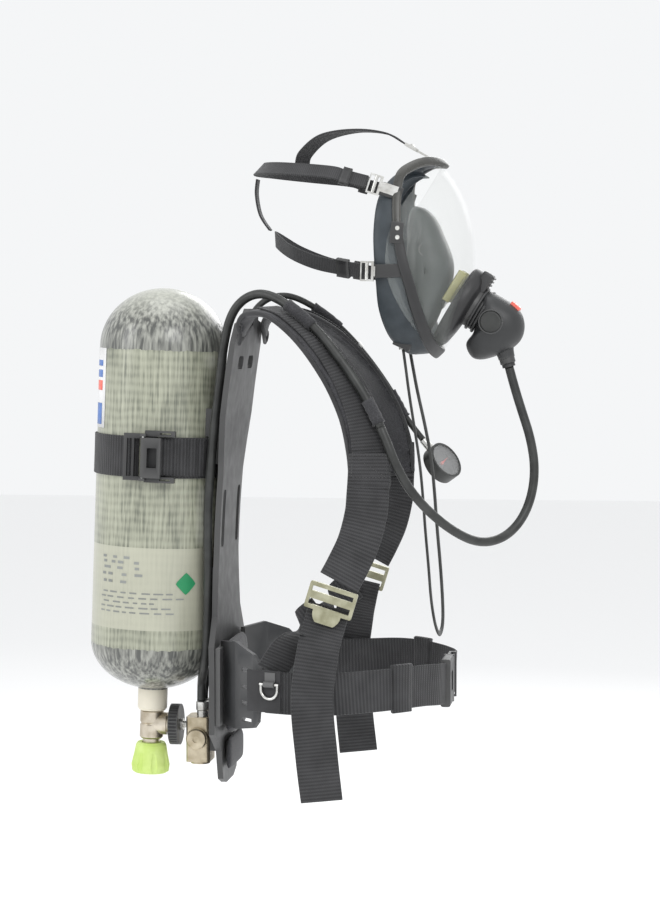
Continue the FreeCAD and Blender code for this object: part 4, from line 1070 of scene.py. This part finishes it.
def pebble(name, outline, centre, half, power, finish, body, slices=18, openBehind=None):
    # rounded pod: its side outline shrinks towards both sides
    rim = closedOutline([mm(x, 0, z) for x, z in outline])
    middle = mm(centre[0], 0, centre[1])
    loops = []
    for n in range(slices + 1):
        angle = -math.pi / 2 + math.pi * n / slices
        t = math.sin(angle)
        scale = max(1 - abs(t) ** power, 0.0) ** (1 / power)
        scale = max(scale, 0.02)
        loops.append([middle + (p - middle) * scale + Vector((0, t * half, 0)) for p in rim])
    size = len(rim)
    verts = [p for loop in loops for p in loop]
    faces = ringFaces(len(loops), size)
    if openBehind is None:
        faces += capFaces(len(verts), size)
    else:
        faces = [quad for quad in faces if sum(verts[q].x for q in quad) / 4 > openBehind]
    piece = newPiece(name, verts, faces, finish, body)
    if openBehind is not None:
        solid = piece.modifiers.new("wall", "SOLIDIFY")
        solid.thickness = 0.0022
        solid.offset = 0
    return piece


def closedOutline(points, perSpan=5):
    count = len(points)
    loop = []
    for i in range(count):
        p0, p1, p2, p3 = points[i - 1], points[i], points[(i + 1) % count], points[(i + 2) % count]
        for k in range(perSpan):
            t = k / perSpan
            loop.append(splineStep(p0, p1, p2, p3, t))
    return loop


def makeMask():
    upper = frameLine[:6]
    lower = frameLine[5:]
    frameBar("visorFrameUpper", flipped(upper[:0:-1]) + upper, "frame_upper", (0.013, 0.010), "frameGrey")
    frameBar("visorFrameLower", lower + flipped(lower[-2::-1]), "frame_lower", (0.016, 0.012), "black")
    front = closedLoop(frameLine)
    rear = closedLoop(rearLine)
    loops = [shrunk(front, 0.93, 0.965, 0.004), shrunk(front, 0.975, 0.985, -0.001),
             [a.lerp(b, 0.5) for a, b in zip(shrunk(front, 1.0, 0.99, 0), rear)],
             rear, shrunk(rear, 0.94, 0.96, -0.002), shrunk(rear, 0.88, 0.92, 0.002),
             shrunk(rear, 0.85, 0.90, 0.008)]
    seal = loftLoops("faceSeal", loops, "silicone", "mask", 0.0024)
    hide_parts("face_seal")
    cup = pebble("noseCup", [(211, 588), (224, 593), (240, 581), (252, 556), (262, 527), (260, 500),
                             (248, 470), (237, 447),
                             (222, 433), (207, 440), (203, 480), (205, 540)], (232, 515), 0.0395, 2.6,
                 "innerSilicone",
                 "mask", openBehind=0.209)
    addSubdivision(cup)
    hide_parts("inner_mask")
    # joint clamps of the frame, tabs to the cheek buckles and chin lugs
    for sign, tag in ((-1, "Right"), (1, "Left")):
        out = domeNormal(mm(203.6, sign * 87, 560))
        turn = turnTo(Vector((0.1, 0, 1)), out)
        roundBlock("frameClamp" + tag, mm(203.6, sign * 89.6, 559.5), (0.026, 0.015, 0.0052), turn, "black",
                   "mask")
        tab = turnTo(Vector((1, 0, 0.02)), Vector((0, sign, 0)))
        roundBlock("cheekTab" + tag, mm(194, sign * 86.5, 514.5), (0.040, 0.016, 0.0034), tab, "black",
                   "mask")
        roundBlock("templeTab" + tag, mm(196, sign * 78, 609), (0.026, 0.016, 0.0034),
                   turnTo(Vector((0.91, sign * -0.27, -0.3)), Vector((0, sign, 0))), "black",
                   "mask")
        roundBlock("chinLug" + tag, mm(205, sign * 33.5, 428), (0.022, 0.012, 0.014),
                   turnTo(Vector((0.9, 0, -0.4)), Vector((0, sign, 0))),
                   "black", "mask")


portLook = {"centre": (0.271, 0, 0.471), "up": (0.522, 0, 0.853), "long": 0.0525, "wide": 0.0385,
            "deep": 0.0095, "hole": 0.0235}


def makePort():
    look = portLook
    centre, up = Vector(look["centre"]), Vector(look["up"]).normalized()
    axis = Vector((up.z, 0, -up.x))
    loops = []
    section = [(0.90, -1.0), (0.98, -0.85), (1.0, -0.5), (1.0, 0.1), (0.97, 0.5), (0.90, 0.9), (0.80, 1.0)]
    for share, depth in section:
        loops.append([centre + up * (look["long"] * share * math.cos(a)) + Vector((0,
                                                                                   look["wide"] * share * math.sin(a), 0))
                      + axis * (look["deep"] * depth) for a in (2 * math.pi * k / 48 for k in range(48))])
    port = Vector((0.281, 0, 0.477))
    for radius, depth in ((look["hole"] + 0.003, 0.9), (look["hole"], 0.5), (look["hole"], -0.9)):
        loops.append([port + up * (radius * math.cos(a)) + Vector((0, radius * math.sin(a),
                                                                   0)) + axis * (look["deep"] * depth)
                      for a in (2 * math.pi * k / 48 for k in range(48))])
    collar = loftLoops("portCollar", loops + [loops[0]], "black", "mask")
    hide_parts("port_housing")
    # release clip on top of the port, with grip ribs
    top = centre + up * 0.040 + axis * 0.010
    turn = turnTo(up, axis)
    roundBlock("portClip", top, (0.030, 0.034, 0.014), turn, "black", "mask", 0.003)
    for n in range(6):
        roundBlock("portClipRib%d" % n, top + up * (-0.012 + 0.0048 * n) + axis * 0.0075,
                   (0.0022, 0.030, 0.0030), turn, "black",
                   "mask", 0.0008)
    # thread rings between port and valve
    for n, (out, radius) in enumerate(((0.0135, 0.0285), (0.0175, 0.0262), (0.0215, 0.0285))):
        ring = [port + axis * (out - 0.0016 + 0.0032 * k / 4) for k in range(5)]
        tube("portThread%d" % n, ring, lambda s, total,
             radius=radius: radius - 0.0008 * abs(2 * s / total - 1) ** 4, "black",
             "mask", 40)
    for sign, tag in ((-1, "Right"), (1, "Left")):
        roundBlock("flowGuide" + tag, mm(266, sign * 24, 497), (0.042, 0.010, 0.004),
                   turnTo(up, Vector((0.5, sign, 0))), "amber",
                   "mask", 0.0015)


def makeValve():
    shell = pebble("valveShell", [(303, 491), (324, 483), (343, 469.5), (350, 453), (348, 436), (338, 423.5),
                                  (320, 414),
                                  (300, 408), (286, 411), (279, 427), (289, 443), (291, 468)], (315, 452),
                   0.0325, 2.5,
                   "valveBlack", "mask")
    addSubdivision(shell)
    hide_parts("valve_shell")
    nose = [mm(288, 0, 473), mm(291, 0, 471.2), mm(294, 0, 469.3), mm(297, 0, 467.5)]
    tube("valveNeck", nose, lambda s, total: 0.0252 - 0.004 * (s / total) ** 2, "valveBlack",
         "mask", 40)
    spout = [mm(328.6, 0, 409.8), mm(327.8, 0, 412.5), mm(326.5, 0, 417), mm(324.5, 0, 424)]
    tube("valveSpout", spout, lambda s, total: 0.0102 + 0.003 * (s / total) ** 2, "valveBlack",
         "mask", 28)
    # raised rim round the press button
    rim = [mm(311 + 14.2 * math.cos(a), -31.6 + 0.6 * abs(math.cos(a)), 454 + 14.2 * math.sin(a))
           for a in (2 * math.pi * k / 40 for k in range(41))]
    tube("pressButtonRim", rim, lambda s, total: 0.0011, "valveBlack", "mask", 8)


makeMask()
makePort()
makeValve()
print("stage: mask, port and demand valve")


# ---- prints on the cylinder: plain marks with no lettering
def bottlePatch(name, low, high, first, last, finish, lift=0.0004):
    rows, columns = 2, max(3, int(abs(last - first) / 4))
    verts, faces = [], []
    for r in range(rows + 1):
        for c in range(columns + 1):
            verts.append(bottlePoint(low + (high - low) * r / rows, first + (last - first) * c / columns,
                                     0.079 + lift))
    for r in range(rows):
        for c in range(columns):
            a = r * (columns + 1) + c
            faces.append((a, a + 1, a + columns + 2, a + columns + 1))
    piece = newPiece(name, verts, faces, finish, "root")
    solid = piece.modifiers.new("film", "SOLIDIFY")
    solid.thickness = 0.0002
    return piece


def makePrints():
    dice = random.Random(7)
    bottlePatch("sideLabel", 0.326, 0.424, -166, -140, "white")
    for n, (low, high, finish) in enumerate(((0.330, 0.356, "blue"), (0.372, 0.384, "red"),
                                             (0.388, 0.397, "blue"), (0.402, 0.409, "blue"))):
        bottlePatch("sideLabelMark%d" % n, low, high, -160, -146, finish, 0.0008)
    # rows of plain bars on the printed band
    verts, faces = [], []
    rows = [(0.170, 3), (0.164, 4), (0.157, 3), (0.149, 4), (0.140, 3), (0.127, 7), (0.121, 8), (0.115, 6),
            (0.109, 7), (0.103, 8)]
    for height, count in rows:
        angle = -136 + dice.uniform(0, 6)
        for n in range(count):
            span = dice.uniform(4, 9)
            tall = 0.0016 if height > 0.13 else 0.0009
            base = len(verts)
            for c in range(3):
                for edge in (-tall, tall):
                    verts.append(bottlePoint(height + edge, angle + span * c / 2, 0.0793))
            for c in range(2):
                a = base + 2 * c
                faces.append((a, a + 1, a + 3, a + 2))
            angle += span + dice.uniform(2, 5 if height < 0.13 else 12)
    newPiece("labelBars", verts, faces, "ink", "root")
    # green lozenge
    centre, size = (0.140, -51), 0.015
    verts = [bottlePoint(centre[0], centre[1], 0.0796)]
    for k in range(24):
        angle = 2 * math.pi * k / 24
        c, s = math.cos(angle), math.sin(angle)
        reach = size / (abs(c) + abs(s)) * (0.96 if k % 6 else 0.90)
        verts.append(bottlePoint(centre[0] + reach * s, centre[1] + math.degrees(reach * c / 0.079), 0.0796))
    newPiece("greenLozenge", verts, [(0, k, k % 24 + 1) for k in range(1, 25)], "green", "root")


makePrints()
print("stage: plain prints")
